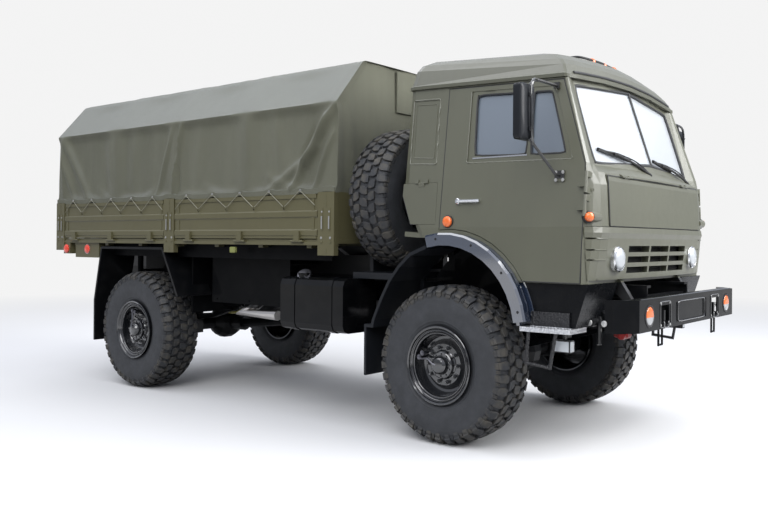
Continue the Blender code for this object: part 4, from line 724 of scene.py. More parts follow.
class Shape:
    """Points and faces of one piece, gathered from simple forms."""

    def __init__(self):
        self.points = []
        self.faces = []

    def add(self, points, faces):
        base = len(self.points)
        self.points += [tuple(point) for point in points]
        self.faces += [tuple(base + index for index in face) for face in faces]

    def loft(self, rings, closed=False, caps=True):
        """Faces between rings of equally many points."""
        count = len(rings[0])
        faces = []
        last = len(rings) if closed else len(rings) - 1
        for row in range(last):
            here, there = row * count, (row + 1) % len(rings) * count
            for i in range(count):
                j = (i + 1) % count
                faces.append((here + i, here + j, there + j, there + i))
        if caps and not closed:
            faces.append(tuple(reversed(range(count))))
            faces.append(tuple((len(rings) - 1) * count + i for i in range(count)))
        self.add([point for ring in rings for point in ring], faces)

    def box(self, low, high):
        """A box between two corners, with its edges broken."""
        low, high = Vector(low), Vector(high)
        middle = (low + high) / 2
        half = (high - low) / 2
        edge = min(half) * 0.28
        rings = []
        for level, inset in ((-1, edge), (-1 + edge / half.z, 0.0), (1 - edge / half.z, 0.0), (1, edge)):
            a, b = half.x - inset, half.y - inset
            corners = (
                (a, b - edge), (a - edge, b), (-a + edge, b), (-a, b - edge),
                (-a, -b + edge), (-a + edge, -b), (a - edge, -b), (a, -b + edge),
            )
            rings.append([middle + Vector((x, y, level * half.z)) for x, y in corners])
        self.loft(rings)

    def grid(self, rows, flipped=False):
        """Faces between rows of equally many points, which stay open at their ends."""
        count = len(rows[0])
        faces = []
        for start in range(0, (len(rows) - 1) * count, count):
            for a in range(start, start + count - 1):
                b = a + count
                faces.append((a, a + 1, b + 1, b) if flipped else (a, b, b + 1, a + 1))
        self.add([point for row in rows for point in row], faces)

    def lathe(self, origin, axis, profile, segments=48):
        """A profile of (distance along the axis, radius) pairs turned about it."""
        axis = Vector(axis).normalized()
        across = axis.orthogonal().normalized()
        other = axis.cross(across)
        rings = []
        for i in range(segments):
            turn = 2 * math.pi * i / segments
            spoke = math.cos(turn) * across + math.sin(turn) * other
            rings.append([origin + along * axis + radius * spoke for along, radius in profile])
        count = len(profile)
        faces = []
        for i in range(segments):
            here, there = i * count, (i + 1) % segments * count
            faces += [(here + k, there + k, there + k + 1, here + k + 1) for k in range(count - 1)]
        self.add([point for ring in rings for point in ring], faces)

    def rod(self, start, end, radius, segments=14):
        """A round bar with broken edges."""
        start, end = Vector(start), Vector(end)
        length = (end - start).length
        edge = min(radius, length) * 0.2
        profile = (
            (0, TIP), (0, radius - edge), (edge, radius), (length - edge, radius), (length, radius - edge),
            (length, TIP),
        )
        self.lathe(start, end - start, profile, segments)

    def tube(self, path, radius, sides=8, closed=False, rounds=3):
        """A round bar through points, with its corners cut round by halving them."""
        path = [Vector(point) for point in path]
        for _ in range(rounds):
            path = rounded(path, closed)
        rings = []
        across = None
        for i, here in enumerate(path):
            before = path[i - 1] if i or closed else here
            after = path[(i + 1) % len(path)] if i + 1 < len(path) or closed else here
            along = (after - before).normalized()
            if across is None:
                across = along.orthogonal().normalized()
            across = (across - across.dot(along) * along).normalized()
            other = along.cross(across)
            turns = [2 * math.pi * k / sides for k in range(sides)]
            rings.append([here + radius * (math.cos(t) * across + math.sin(t) * other) for t in turns])
        self.loft(rings, closed)

    def bolt(self, origin, axis, radius=0.009, height=0.007):
        """A hexagon head on its washer."""
        axis = Vector(axis).normalized()
        washer = ((0, radius * 1.5), (height * 0.25, radius * 1.5), (height * 0.25, TIP))
        head = ((height * 0.2, radius), (height * 0.85, radius), (height, radius * 0.8), (height, TIP))
        self.lathe(Vector(origin), axis, washer, 12)
        self.lathe(Vector(origin), axis, head, 6)

    def piece(self, name, body, finish, slot, replaces=(), sharp=35.0):
        """Makes the mesh object with its finish and rides it on its body; the slot is not used."""
        mesh = bpy.data.meshes.new(name)
        mesh.from_pydata(self.points, [], self.faces)
        mesh.validate()
        mesh.shade_smooth()
        mesh.set_sharp_from_angle(angle=math.radians(sharp))
        obj = bpy.data.objects.new(name, mesh)
        mesh.materials.append(FINISHES[finish].material)
        bpy.context.scene.collection.objects.link(obj)
        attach(obj, body)
        if replaces:
            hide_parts(*replaces)
        return obj


def rounded(path, closed):
    """The path with each corner cut a quarter of the way along its two sides."""
    made = along_sides(path, (0.25, 0.75), closed)
    return made if closed else [path[0], *made, path[-1]]


def mark_creases(mesh):
    """Keeps the long crease of the cab's sides crisp, which is too shallow for the angle."""
    for edge in mesh.edges:
        if all(abs(mesh.vertices[index].co.z - CREASE_Z) < 0.003 for index in edge.vertices):
            edge.use_edge_sharp = True


def dress_nodes():
    """Gives each solid that stays in view its finish, and smooths its round stretches."""
    finish_of = {
        "cab": ("cab_body", "front_lid", "grille_panel", *both("side_flap")),
        "roof": ("cab_roof",),
        "platform": ("platform",),
        "door": both("door"),
        "body": ("headboard", "tailgate", "tarp_bows", *both("sideboard_front", "sideboard_rear")),
        "lip": both("cab_arch"),
        "bumper": ("front_bumper",),
        "tank": ("fuel_tank", "battery_box", "air_tank"),
        "semi": ("spare_carrier", *both("front_mudguard")),
        "chassis": (
            "frame", "powertrain", "front_axle", "rear_axle", "tie_rod", *both("knuckle", "rear_fender"),
        ),
        "windshield": ("windshield",),
        "side_glass": both("door_glass"),
        "alloy": both("step"),
        "exhaust": ("exhaust",),
        "plastic": ("dashboard",),
    }
    for finish, names in finish_of.items():
        for name in names:
            mesh = NODES[name].data
            mesh.materials.clear()
            mesh.materials.append(FINISHES[finish].material)
            mesh.shade_smooth()
            mesh.set_sharp_from_angle(angle=math.radians(SHARP_ANGLES.get(name, 32)))
            if finish in ("cab", "door"):
                mark_creases(mesh)
            if name in PLAIN_SHADING:
                continue
            even = NODES[name].modifiers.new("even_shading", "WEIGHTED_NORMAL")
            even.keep_sharp = True
            even.weight = 90


def curve_through(points, share):
    """A smooth curve through evenly counted points, from 0 to 1."""
    spot = min(share, 0.99999) * (len(points) - 1)
    i = int(spot)
    t = spot - i
    a, b, c, d = (points[max(0, min(len(points) - 1, i + k))] for k in (-1, 0, 1, 2))
    return tuple(
        0.5 * (2 * q + (r - p) * t + (2 * p - 5 * q + 4 * r - s) * t * t + (3 * q - p - 3 * r + s) * t ** 3)
        for p, q, r, s in zip(a, b, c, d)
    )


def section_table(steps=90):
    """The tyre's section by its length from the middle of the tread: (length, half width, radius)."""
    rows = []
    length = 0.0
    last = None
    for i in range(steps + 1):
        y, r = curve_through(CARCASS, i / steps)
        for ring_r, half, stand in SIDE_RINGS:
            if y > 0.1:
                y += stand * max(0.0, 1 - ((r - ring_r) / half) ** 2)
        if last is not None:
            length += math.dist(last, (y, r))
        last = (y, r)
        rows.append((length, y, r))
    return rows


SECTION = section_table()


def on_section(distance, height):
    """Half width and radius at a length from the tread's middle, raised along the surface's normal."""
    distance = abs(distance)
    index = next((i for i, row in enumerate(SECTION) if row[0] >= distance), len(SECTION) - 1)
    index = max(1, index)
    before, after = SECTION[index - 1], SECTION[index]
    t = (distance - before[0]) / max(1e-9, after[0] - before[0])
    y = before[1] + (after[1] - before[1]) * t
    r = before[2] + (after[2] - before[2]) * t
    dy, dr = after[1] - before[1], after[2] - before[2]
    size = math.hypot(dy, dr)
    return y - dr / size * height, r + dy / size * height


def add_lug(shape, spot, turn, rows, lift):
    """One tread lug, from rows of: length across the tread, half width, skew and share of the height."""
    first, last = rows[0][0], rows[-1][0]
    inwards = 1 if last > first else -1
    loops = []
    # Its foot, its edge and its top: width, how far both ends are drawn in, and height
    for grow, sink, drop in ((1.05, 0.0, -0.2), (1.0, 0.001, 0.88), (0.93, 0.004, 1.0)):
        drawn = {first: sink * inwards, last: -sink * inwards}
        loop = []
        for way in (-1, 1):
            side = []
            for s, half, skew, high in rows:
                across = s + drawn.get(s, 0.0)
                y, r = on_section(across, lift * (high * drop if drop > 0 else drop * 0.3))
                angle = turn + (skew + way * half * grow) / TYRE_RADIUS
                side.append(spot(math.copysign(y, across), r, angle))
            loop += side if way < 0 else side[::-1]
        loops.append(loop)
    shape.loft(loops, caps=False)
    end = len(shape.points) - 1
    start = end + 1 - 2 * len(rows)
    shape.faces += [(start + i, start + i + 1, end - 1 - i, end - i) for i in range(len(rows) - 1)]


def mirrored(rows):
    """The same lug on the other half of the tread."""
    return tuple((-across, half, -skew, height) for across, half, skew, height in rows)


# Rows of lugs round the tyre, and how many pitches each is turned on
LUG_ROWS = (
    (MIDDLE_BLOCK, 0.0), (INNER_BLOCK, 0.5), (mirrored(INNER_BLOCK), 0.5), (SHOULDER_BLOCK, 0.0),
    (mirrored(SHOULDER_BLOCK), 0.0), (SHOULDER_RIB, 0.43), (SHOULDER_RIB, 0.57),
    (mirrored(SHOULDER_RIB), 0.43), (mirrored(SHOULDER_RIB), 0.57),
)

def wheel_spot(centre, axis, up, around):
    """A function that places (distance along the axle, radius, angle) on one wheel."""
    def spot(along, radius, angle):
        return centre + along * axis + radius * (math.cos(angle) * up + math.sin(angle) * around)
    return spot


def make_wheel(label, tyre, rim, axis, sizes, pipe_turn):
    """A tyre with its tread, and a rim with the nuts and bolts of its hub and the inflation pipe."""
    centre = middle_of(tyre)
    axis, up = Vector(axis), Vector((0, 0, 1))
    around = axis.cross(up)
    spot = wheel_spot(centre, axis, up, around)
    carcass = Shape()
    profile = [(-y, r) for _, y, r in reversed(SECTION)] + [(y, r) for _, y, r in SECTION[1:]]
    carcass.lathe(centre, axis, profile, 96)
    carcass.piece(f"tyre_{label}", body_of(tyre), "sidewall", "tyre_rubber", (tyre,), 50)
    tread = Shape()
    pitch = 2 * math.pi / sizes.lugs
    for rows, offset in LUG_ROWS:
        for i in range(sizes.lugs):
            add_lug(tread, spot, (i + offset) * pitch, rows, sizes.lug_height)
    tread.piece(f"tread_{label}", body_of(tyre), "tread", "tyre_rubber", (), 14)
    metalwork = Shape()
    metalwork.lathe(centre, axis, RIM_FACE, 72)
    metalwork.lathe(centre, axis, RIM_BACK, 48)
    for i in range(sizes.hub_nuts):
        turn = 2 * math.pi * (i + 0.5) / sizes.hub_nuts
        foot = spot(0.124, 0.141, turn)
        metalwork.bolt(foot, axis, 0.0165, 0.024)
        metalwork.rod(foot + 0.020 * axis, foot + 0.040 * axis, 0.0095, 10)
        metalwork.bolt(spot(0.166, 0.088, turn + 0.3), axis, 0.008, 0.009)
    pipe = Shape()
    pipe.tube([spot(along, radius, pipe_turn + shift) for along, radius, shift in INFLATION_PIPE], 0.0075, 8)
    for turn, reach in ((pipe_turn, 0.205), (pipe_turn - 0.22, 0.188)):
        pipe.rod(spot(0.085, reach, turn), spot(0.196, reach, turn), 0.012, 12)
        pipe.bolt(spot(0.190, reach, turn), axis, 0.014, 0.012)
    pipe.piece(f"inflation_pipe_{label}", body_of(rim), "dark_metal", "bright_metal", (), 40)
    metalwork.piece(f"rim_{label}", body_of(rim), "gloss", "black_paint", (rim,), 30)


def make_wheels():
    """The four wheels with their valves turned as in the photograph, and the spare wheel."""
    sizes = bpy.context.scene.truck_sizes
    for end, valve in (("front", 76), ("rear", 10)):
        for side, which in SIDES:
            place = f"{end}_{which}"
            make_wheel(
                f"wheel_{place}", f"tyre_{place}", f"rim_{place}", (0, side, 0), sizes, math.radians(valve)
            )
    make_wheel("wheel_spare", "spare_tyre", "spare_rim", (-1, 0, 0), sizes, 0.6)


def fold_height(x, z, folds):
    """How far the cloth stands at a place, from the folds that pass near it."""
    total = 0.0
    for x0, z0, x1, z1, width, depth in folds:
        run = (x1 - x0, z1 - z0)
        t = ((x - x0) * run[0] + (z - z0) * run[1]) / (run[0] ** 2 + run[1] ** 2)
        clipped = min(1.0, max(0.0, t))
        gap = math.hypot(x - x0 - run[0] * clipped, z - z0 - run[1] * clipped)
        swell = 0.35 + 0.65 * math.sin(math.pi * min(1.0, max(0.0, t * 0.8 + 0.1)))
        total += depth * math.exp(-(gap / width) ** 2) * swell
    return total


def eyelets(rear, front, count):
    """Places of the eyelets between two posts, from the rear."""
    step = (front - rear) / count
    return [rear + step * (i + 0.5) for i in range(count)]


def hem_height(x):
    """The hem hangs between its eyelets and lifts towards the front corner."""
    pulled = 0.0
    for row in LACED:
        for spot in eyelets(*row):
            pulled = max(pulled, math.exp(-((x - spot) / 0.05) ** 2))
    over_post = max(math.exp(-((x - post) / 0.10) ** 4) for post in POST_X)
    return TARP_HEM[1] + 0.014 * pulled + 0.018 * over_post


def tarp_profile():
    """Half widths and heights from the hem to the middle of the top, with round edges at eave and top."""
    lean, rise = TARP_EAVE[0] - TARP_HEM[0], 2.80 - TARP_HEM[1]
    wall = [(TARP_HEM[0] + lean * i / 22, TARP_HEM[1] + rise * i / 22) for i in range(23)]
    corner = [(1.234, 2.815), (1.232, 2.834), (1.222, 2.851), (1.206, 2.872)]
    slope = [(1.206 - 0.296 * i / 12, 2.872 + 0.355 * i / 12) for i in range(1, 12)]
    top = [(0.904, 3.234), (0.886, 3.247), (0.862, 3.254), (0.82, 3.256)]
    flat = [(0.82 * (1 - i / 10), 3.256 + 0.002 * math.sin(math.pi * i / 10)) for i in range(1, 11)]
    return wall + corner + slope + top + flat


def cloth_point(x, side, half, z, sizes):
    """A point of the tarp pushed in or out by its folds and by its sag between the bows."""
    folds = fold_height(x, z, SIDE_FOLDS) * sizes.fold_depth if z < 2.86 else 0.0
    wobble = noise.noise(Vector((x * 2.1, side * 3.0, z * 1.2))) * 0.010
    wobble += noise.noise(Vector((x * 6.3 + z * 2.0, side * 5.0 + 9.0, z * 1.4))) * 0.005
    between = min(abs(x - bow) for bow in BOW_X)
    half_bay = 0.557
    sag = 0.016 * math.sin(min(1.0, between / half_bay) * math.pi / 2) ** 2
    if z > TARP_TURN_Z:
        drop = sag * (0.55 if half < 0.83 else 1.0) * smooth_step(0, 0.12, abs(half - TARP_TOP[0]))
        ridge = 0.0025 * math.exp(-(between / 0.02) ** 2)
        return at(x, side * (half - drop * 0.5), z - drop + ridge - 0.003 + min(0.0, wobble))
    taper = smooth_step(TARP_TURN_Z, 2.74, z)
    hollow = 0.014 + 0.026 * smooth_step(0.0, 0.22, between) * smooth_step(2.03, 2.16, z)
    out = (folds + wobble - hollow) * taper
    # Near a bow the cloth can't sink into it
    if between < 0.05:
        out = max(out, -0.017)
    low = smooth_step(2.10, 2.03, z)
    return at(x, side * (half + out * (1 - low) + min(out, 0.004) * low * 0.3), z)


def make_tarp():
    """The cloth: a grid over the bows, its two ends, and its trim."""
    sizes = bpy.context.scene.truck_sizes
    profile = tarp_profile()
    rear, front = TARP_X[0] + 0.004, TARP_X[1] - 0.004
    full = [(-1, *row) for row in profile] + [(1, *row) for row in reversed(profile[:-1])]
    shape = Shape()
    grid = []
    for c in range(TARP_COLUMNS + 1):
        x = rear + (front - rear) * c / TARP_COLUMNS
        column = []
        for side, half, z in full:
            lifted = z + (hem_height(x) - TARP_HEM[1]) * smooth_step(2.30, TARP_HEM[1], z)
            column.append(cloth_point(x, side, half, lifted, sizes))
        grid.append(column)
    shape.grid(grid)
    for column, outward in ((grid[0], -1), (grid[-1], 1)):
        add_tarp_end(shape, column, outward)
    make_tarp_trim(shape.piece("tarp_cloth", CHASSIS, "canvas", "canvas", ("tarp",), 60), sizes)


def add_tarp_end(shape, edge, outward):
    """An end of the tarp: drawn in from its outline, with soft vertical folds."""
    rows = [list(edge)]
    for k in range(1, END_ROWS + 1):
        inward = k / END_ROWS
        depth = smooth_step(0.0, 0.10, inward)
        row = []
        for i, point in enumerate(edge):
            at_hem = i in (0, len(edge) - 1)
            level = point.z if at_hem else TARP_FOOT_Z + (point.z - TARP_FOOT_Z) * 0.999
            here = point.lerp(Vector((point.x, 0.0, level)), inward)
            y = here.y
            cloud = noise.noise(Vector((y * 4.2, here.z * 1.1, outward * 4.0)))
            wave = 0.006 * math.sin(y * 9.0 + 1.3) + 0.024 * cloud
            corner = 0.020 * math.exp(-((abs(y) - 1.02 - 0.10 * (here.z - 2.4)) / 0.05) ** 2)
            row.append(Vector((point.x + outward * depth * (wave - 0.018 + corner), y, here.z)))
        rows.append(row)
    shape.grid(rows, outward < 0)


def make_tarp_trim(tarp, sizes):
    """The hem along both sides and the flap on the front end of the sheet."""
    hem = Shape()
    section = ((-0.004, -0.008), (0.003, -0.006), (0.003, 0.040), (-0.004, 0.042))
    for side, _ in SIDES:
        rings = []
        for i in range(121):
            x = TARP_X[0] + 0.01 + (TARP_X[1] - TARP_X[0] - 0.02) * i / 120
            point = cloth_point(x, side, TARP_HEM[0], hem_height(x), sizes) + Vector((0, side * 0.002, 0.006))
            rings.append([point + Vector((0, side * y, z)) for y, z in section])
        hem.loft(rings)
    edge = hem.piece("tarp_hem", CHASSIS, "canvas", "canvas", (), 40)
    flap = Shape()
    x = TARP_X[1] - 0.012
    rows = []
    for i in range(15):
        y = -0.41 + 0.82 * i / 14
        rows.append([
            at(x + 0.006 + 0.004 * math.sin(i * 1.9) * math.sin(math.pi * k / 8) + d, y, 2.84 + 0.39 * k / 8)
            for d, order in ((0.0, range(9)), (-0.012, range(8, -1, -1))) for k in order
        ])
    flap.loft(rows)
    patch = flap.piece("tarp_front_flap", CHASSIS, "canvas", "canvas", (), 40)


def make_lacing():
    """Eyelets along the hem, a rope in zigzags below each row of them, and its hooks on the boards."""
    radius = bpy.context.scene.truck_sizes.rope_radius
    rope, rings, hooks = Shape(), Shape(), {}
    eyelet = ((0.0, 0.006), (0.003, 0.007), (0.003, 0.013), (0.0, 0.014))
    for side, which in SIDES:
        for (rear, front, count), label in zip(LACED, ("front", "rear")):
            step = (front - rear) / count
            y = side * 1.2555
            path = [at(rear + 0.02, y, 1.925)]
            hook_set = hooks.setdefault(f"{label}_{which}", Shape())
            for i, x in enumerate(eyelets(rear, front, count)):
                height = hem_height(x) + 0.022
                path.append(at(x, side * 1.260, height))
                low_x = x + step / 2 + 0.012 * math.sin(i * 2.3 + side)
                if i + 1 < count:
                    path.append(at(low_x, y, 1.918 + 0.006 * math.sin(i * 1.7)))
                    hook_set.tube([
                        at(low_x - 0.02, side * 1.236, 1.90), at(low_x - 0.004, side * 1.262, 1.905),
                        at(low_x + 0.006, side * 1.262, 1.93),
                    ], 0.004, 6, rounds=1)
                rings.lathe(at(x, side * 1.2545, height), (0, side, 0), eyelet, 14)
            path.append(at(front - 0.02, y, 1.925))
            dense = along_sides(path, (0.0, 0.25, 0.5, 0.75), closed=False)
            rope.tube([*dense, path[-1]], radius, 6, rounds=1)
    rope.piece("tarp_lacing", CHASSIS, "rope", "trim")
    rings.piece("tarp_eyelets", CHASSIS, "steel", "bright_metal")
    for place, shape in hooks.items():
        shape.piece(f"rope_hooks_{place}", body_of(f"sideboard_{place}"), "body", "body_paint")


def make_cargo_fittings():
    """Latches, knobs and plates on the posts, edges of the side boards, and the rear lamps."""
    latches, plates, reds, ambers = Shape(), Shape(), Shape(), Shape()
    boards = {}
    reflector = ((0, 0.052), (0.006, 0.052), (0.014, 0.046), (0.020, 0.030), (0.022, TIP))
    bezel = ((0, 0.058), (0.004, 0.058), (0.004, 0.050))
    rear_lamp = ((0, 0.045), (0.010, 0.044), (0.016, TIP))
    for side, which in SIDES:
        out = (0, side, 0)
        for x in LATCH_X:
            latches.box(at(x - 0.006, side * 1.2495, 1.715), at(x + 0.006, side * 1.258, 1.825))
            plates.box(at(x - 0.011, side * 1.2485, 1.70), at(x + 0.011, side * 1.2525, 1.90))
            latches.bolt(at(x, side * 1.2525, 1.865), out, 0.006, 0.006)
        for x in KNOB_X:
            plates.rod(at(x, side * 1.246, 1.60), at(x, side * 1.253, 1.60), 0.014, 12)
            latches.bolt(at(x, side * 1.2485, 1.635), out, 0.008, 0.006)
        for x in POST_X:
            for z in (2.00, 1.93, 1.52):
                plates.box(at(x - 0.012, side * 1.2485, z - 0.022), at(x + 0.012, side * 1.2505, z + 0.022))
        for label, rear, front in BOARDS:
            board = boards.setdefault(f"{label}_{which}", Shape())
            for share in (0.03, 0.97):
                x = rear + (front - rear) * share
                board.box(at(x - 0.016, side * 1.236, 1.63), at(x + 0.016, side * 1.242, 2.02))
            board.box(at(rear + 0.02, side * 1.236, 1.990), at(front - 0.02, side * 1.246, 2.024))
            board.box(at(rear + 0.02, side * 1.236, 1.630), at(front - 0.02, side * 1.244, 1.648))
        for x, y in ((-5.575, 1.2355), (-5.152, 1.2155)):
            reds.lathe(at(x, side * y, 1.497), out, reflector, 24)
        latches.lathe(at(-5.152, side * 1.2155, 1.497), out, bezel, 24)
        for y, shape in ((1.14, reds), (1.02, ambers)):
            shape.lathe(at(-5.640, side * y, 1.50), (-1, 0, 0), rear_lamp, 20)
    tag = Shape()
    tag.box(at(-2.57, -1.232, 1.487), at(-2.49, -1.20, 1.545))
    tag.piece("rail_reflector", CHASSIS, "bright_yellow", "trim")
    latches.piece("post_latches", CHASSIS, "steel", "bright_metal")
    plates.piece("post_plates", CHASSIS, "body", "body_paint")
    reds.piece("rear_lamps_red", CHASSIS, "red", "lamp_glass")
    ambers.piece("rear_lamps_amber", CHASSIS, "amber", "lamp_glass")
    for place, shape in boards.items():
        shape.piece(f"board_edges_{place}", body_of(f"sideboard_{place}"), "body", "body_paint")


def glass_point(side, across, up):
    """A point on the windshield: across from its middle towards a side, and up, both from 0 to 1."""
    foot, head = (
        Vector(middle).lerp(Vector((x, side * half, z)), across)
        for middle, (x, half, z) in zip(GLASS_MIDDLE, GLASS_CORNERS)
    )
    return foot.lerp(head, up)


def make_windshield_trim():
    """Rubber round the windshield, and its middle bar."""
    seal = Shape()
    corners = ((-1, 1.0, 0.0), (-1, 1.0, 1.0), (1, 0.0, 1.0), (1, 1.0, 1.0), (1, 1.0, 0.0), (1, 0.0, 0.0))
    path = [at(*(glass_point(*corner) + Vector((0.008, 0, 0)))) for corner in corners]
    seal.tube(along_sides(path, (0.04, 0.5, 0.96)), 0.013, 8, closed=True, rounds=2)
    bar = [at(*(glass_point(1, 0.0, share) + Vector((0.010, 0, 0)))) for share in (0.0, 1.0)]
    seal.tube(bar, 0.014, 8, rounds=0)
    seal.piece("windshield_seal", CAB, "seal", "trim")


def make_wipers():
    """Two wipers: pivot, arm with its thin link, yoke, and the blade on the glass."""
    wipers = Shape()
    blade = ((-0.004, 0, -0.012), (0.014, 0, -0.009), (0.014, 0, 0.009), (-0.004, 0, 0.012))
    out = Vector((0.020, 0, 0.006))
    lift = Vector((0.0, 0.030, 0.022))
    for pivot, outer, inner in WIPERS:
        pivot, outer, inner = at(*pivot), at(*outer) + out, at(*inner) + out
        middle = outer.lerp(inner, 0.5)
        elbow = pivot.lerp(middle, 0.45) + Vector((0.014, 0, 0.022))
        arm = [pivot + Vector((0.012, 0, 0.01)), elbow, middle + Vector((0.008, 0, 0.004))]
        link = [pivot + Vector((0.012, 0.03, 0.0)), elbow + lift, middle + Vector((0.008, 0.03, 0.012))]
        yoke = [outer.lerp(inner, 0.22), middle + Vector((0.012, 0, 0.012)), outer.lerp(inner, 0.78)]
        wipers.rod(pivot - Vector((0.03, 0, 0.02)), pivot + Vector((0.016, 0, 0.016)), 0.016, 12)
        wipers.tube(arm, 0.0095, 8)
        wipers.tube(link, 0.0055, 6)
        wipers.tube(yoke, 0.0085, 6)
        wipers.box(middle - Vector((0.008, 0.03, 0.008)), middle + Vector((0.016, 0.03, 0.012)))
        rings = []
        for share in (0.0, 0.5, 1.0):
            point = outer.lerp(inner, share) - out * 0.45
            rings.append([point + Vector(corner) for corner in blade])
        wipers.loft(rings)
    wipers.piece("wipers", CAB, "plastic", "trim")


def dome(shape, origin, axis, radius, height):
    """A round lens that bulges."""
    steps = 6
    profile = [(-0.002, radius), (height * 0.35, radius)]
    for i in range(1, steps + 1):
        turn = math.pi / 2 * i / steps
        profile.append((height * (0.35 + 0.65 * math.sin(turn)), max(TIP, radius * math.cos(turn))))
    shape.lathe(origin, axis, profile, 24)


def make_cab_lamps():
    """Headlamps, marker lamps on the roof and the corners, and the lamps by the steps."""
    amber, bezels = Shape(), Shape()
    bezel = ((-0.01, 0.044), (0.016, 0.044), (0.020, 0.036))
    ring_profile = ((-0.055, 0.097), (-0.010, 0.0965), (-0.004, 0.090), (0.001, 0.087), (-0.004, 0.083))
    lens_profile = ((-0.060, 0.084), (-0.006, 0.084), (0.004, 0.078), (0.013, 0.052), (0.017, TIP))
    for y in (-0.16, 0.05, 0.25):
        dome(amber, at(0.78, y, 3.112), (0, 0, 1), 0.0365, 0.046)
        bezels.rod(at(0.78, y, 3.075), at(0.78, y, 3.114), 0.040, 16)
    for side, which in SIDES:
        face, ring, step_lamp = Shape(), Shape(), Shape()
        normal = Vector((0.81, side * 0.59, 0))
        origin = at(1.252, side * 1.142, 1.79)
        dome(amber, origin + 0.020 * normal, normal, 0.034, 0.030)
        bezels.lathe(origin, normal, bezel, 24)
        low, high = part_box(f"headlamp_{which}")
        centre = Vector((high.x - 0.018, (low.y + high.y) / 2, (low.z + high.z) / 2))
        ring.lathe(centre, (1, 0, 0), ring_profile, 48)
        face.lathe(centre, (1, 0, 0), lens_profile, 48)
        face.piece(f"headlamp_lens_{which}", CAB, "clear", "lamp_glass", (f"headlamp_{which}",), 50)
        ring.piece(f"headlamp_ring_{which}", CAB, "chrome", "bright_metal")
        # The lamp by the step has a lens to the front and one to the side: rear x, front x, y and half width
        for rear, front, y, half in ((1.113, 1.121, 1.110, 0.026), (0.993, 1.107, 1.142, 0.003)):
            step_lamp.box(at(rear, side * y - half, 0.818), at(front, side * y + half, 0.892))
        step_lamp.piece(f"step_lamp_{which}", CAB, "clear", "lamp_glass")
    amber.piece("marker_lamps", CAB, "amber", "lamp_glass")
    bezels.piece("marker_bases", CAB, "plastic", "trim")


def make_door_lamps():
    """The round amber lamp on each door, on its base."""
    bezel = ((-0.01, 0.050), (0.008, 0.050), (0.012, 0.043))
    for side, which in SIDES:
        lamp, base = Shape(), Shape()
        door = body_of(f"door_{which}")
        spot = at(0.038, side * skin(1.767), 1.767)
        dome(lamp, spot + Vector((0, side * 0.008, 0)), (0, side, 0), 0.0435, 0.026)
        base.lathe(spot, (0, side, 0), bezel, 24)
        lamp.piece(f"door_lamp_{which}", door, "amber", "lamp_glass")
        base.piece(f"door_lamp_base_{which}", door, "plastic", "trim")


def make_cab_trim():
    """Near-black radiator core behind the grille, its colour also painted shade behind the slots, and the
    seal under the roof hatch.
    """
    core = Shape()
    # The core's near-black colour stands in for the shade behind the grille's slots: painted shade.
    core.box(at(1.2386, -0.68, 1.345), at(1.2425, 0.68, 1.630))
    for i in range(12):
        z = 1.372 + 0.021 * i
        core.rod(at(1.2440, -0.66, z), at(1.2440, 0.66, z), 0.004, 8)
    core.piece("grille_core", CAB, "dark_core", "trim")
    hatch = Shape()
    hatch.box(at(0.36, -0.34, 3.128), at(0.72, 0.30, 3.146))
    hatch.piece("roof_hatch_seal", CAB, "seal", "trim")


def make_door_trim():
    """Window trim, mirror and handle of each door."""
    for side, which in SIDES:
        body = body_of(f"door_{which}")
        add_window_trim(side, which, body)
        add_mirror(side, which, body)
        add_handle(side, which, body)


def add_window_trim(side, which, body):
    """Seals of a door's two windows, and the bright sill of the larger one."""
    seal, sill = Shape(), Shape()
    for outline in DOOR_WINDOWS:
        path = [at(x, side * skin(z, -0.0080), z) for x, z in outline]
        seal.tube(along_sides(path, (0.05, 0.5, 0.95)), 0.0075, 6, closed=True, rounds=1)
    seal.piece(f"window_seal_{which}", body, "seal", "trim")
    y = side * skin(2.275, -0.004)
    sill.box(at(0.225, y - 0.004, 2.258), at(0.722, y + 0.004, 2.271))
    sill.piece(f"window_sill_{which}", body, "chrome", "bright_metal")


def add_handle(side, which, body):
    """A door's handle, on its lock."""
    handle = Shape()
    lock = ((0, 0.024), (0.020, 0.024), (0.026, 0.018), (0.026, TIP))
    grip = ((0.13, 0.026), (0.24, 0.030), (0.335, 0.022))
    spot = at(0.125, side * skin(1.927, 0.024), HANDLE_Z)
    handle.lathe(spot - Vector((0, side * 0.024, 0)), (0, side, 0), lock, 20)
    handle.tube([at(x, side * skin(1.927, out), HANDLE_Z) for x, out in grip], 0.010, 8)
    handle.piece(f"door_handle_{which}", body, "chrome", "bright_metal")


def mirror_ring(x, side, inset):
    """An upright oblong with round corners across the mirror's shell."""
    half_y, half_z, corner = 0.0925 - inset, 0.1925 - inset, max(0.006, 0.024 - inset)
    ring = []
    for cy, cz, start in ((1, 1, 0), (-1, 1, 90), (-1, -1, 180), (1, -1, 270)):
        for k in range(5):
            turn = math.radians(start + 22.5 * k)
            y = side * MIRROR_Y + cy * (half_y - corner) + corner * math.cos(turn)
            z = MIRROR_Z + cz * (half_z - corner) + corner * math.sin(turn)
            ring.append(at(x, y, z))
    return ring


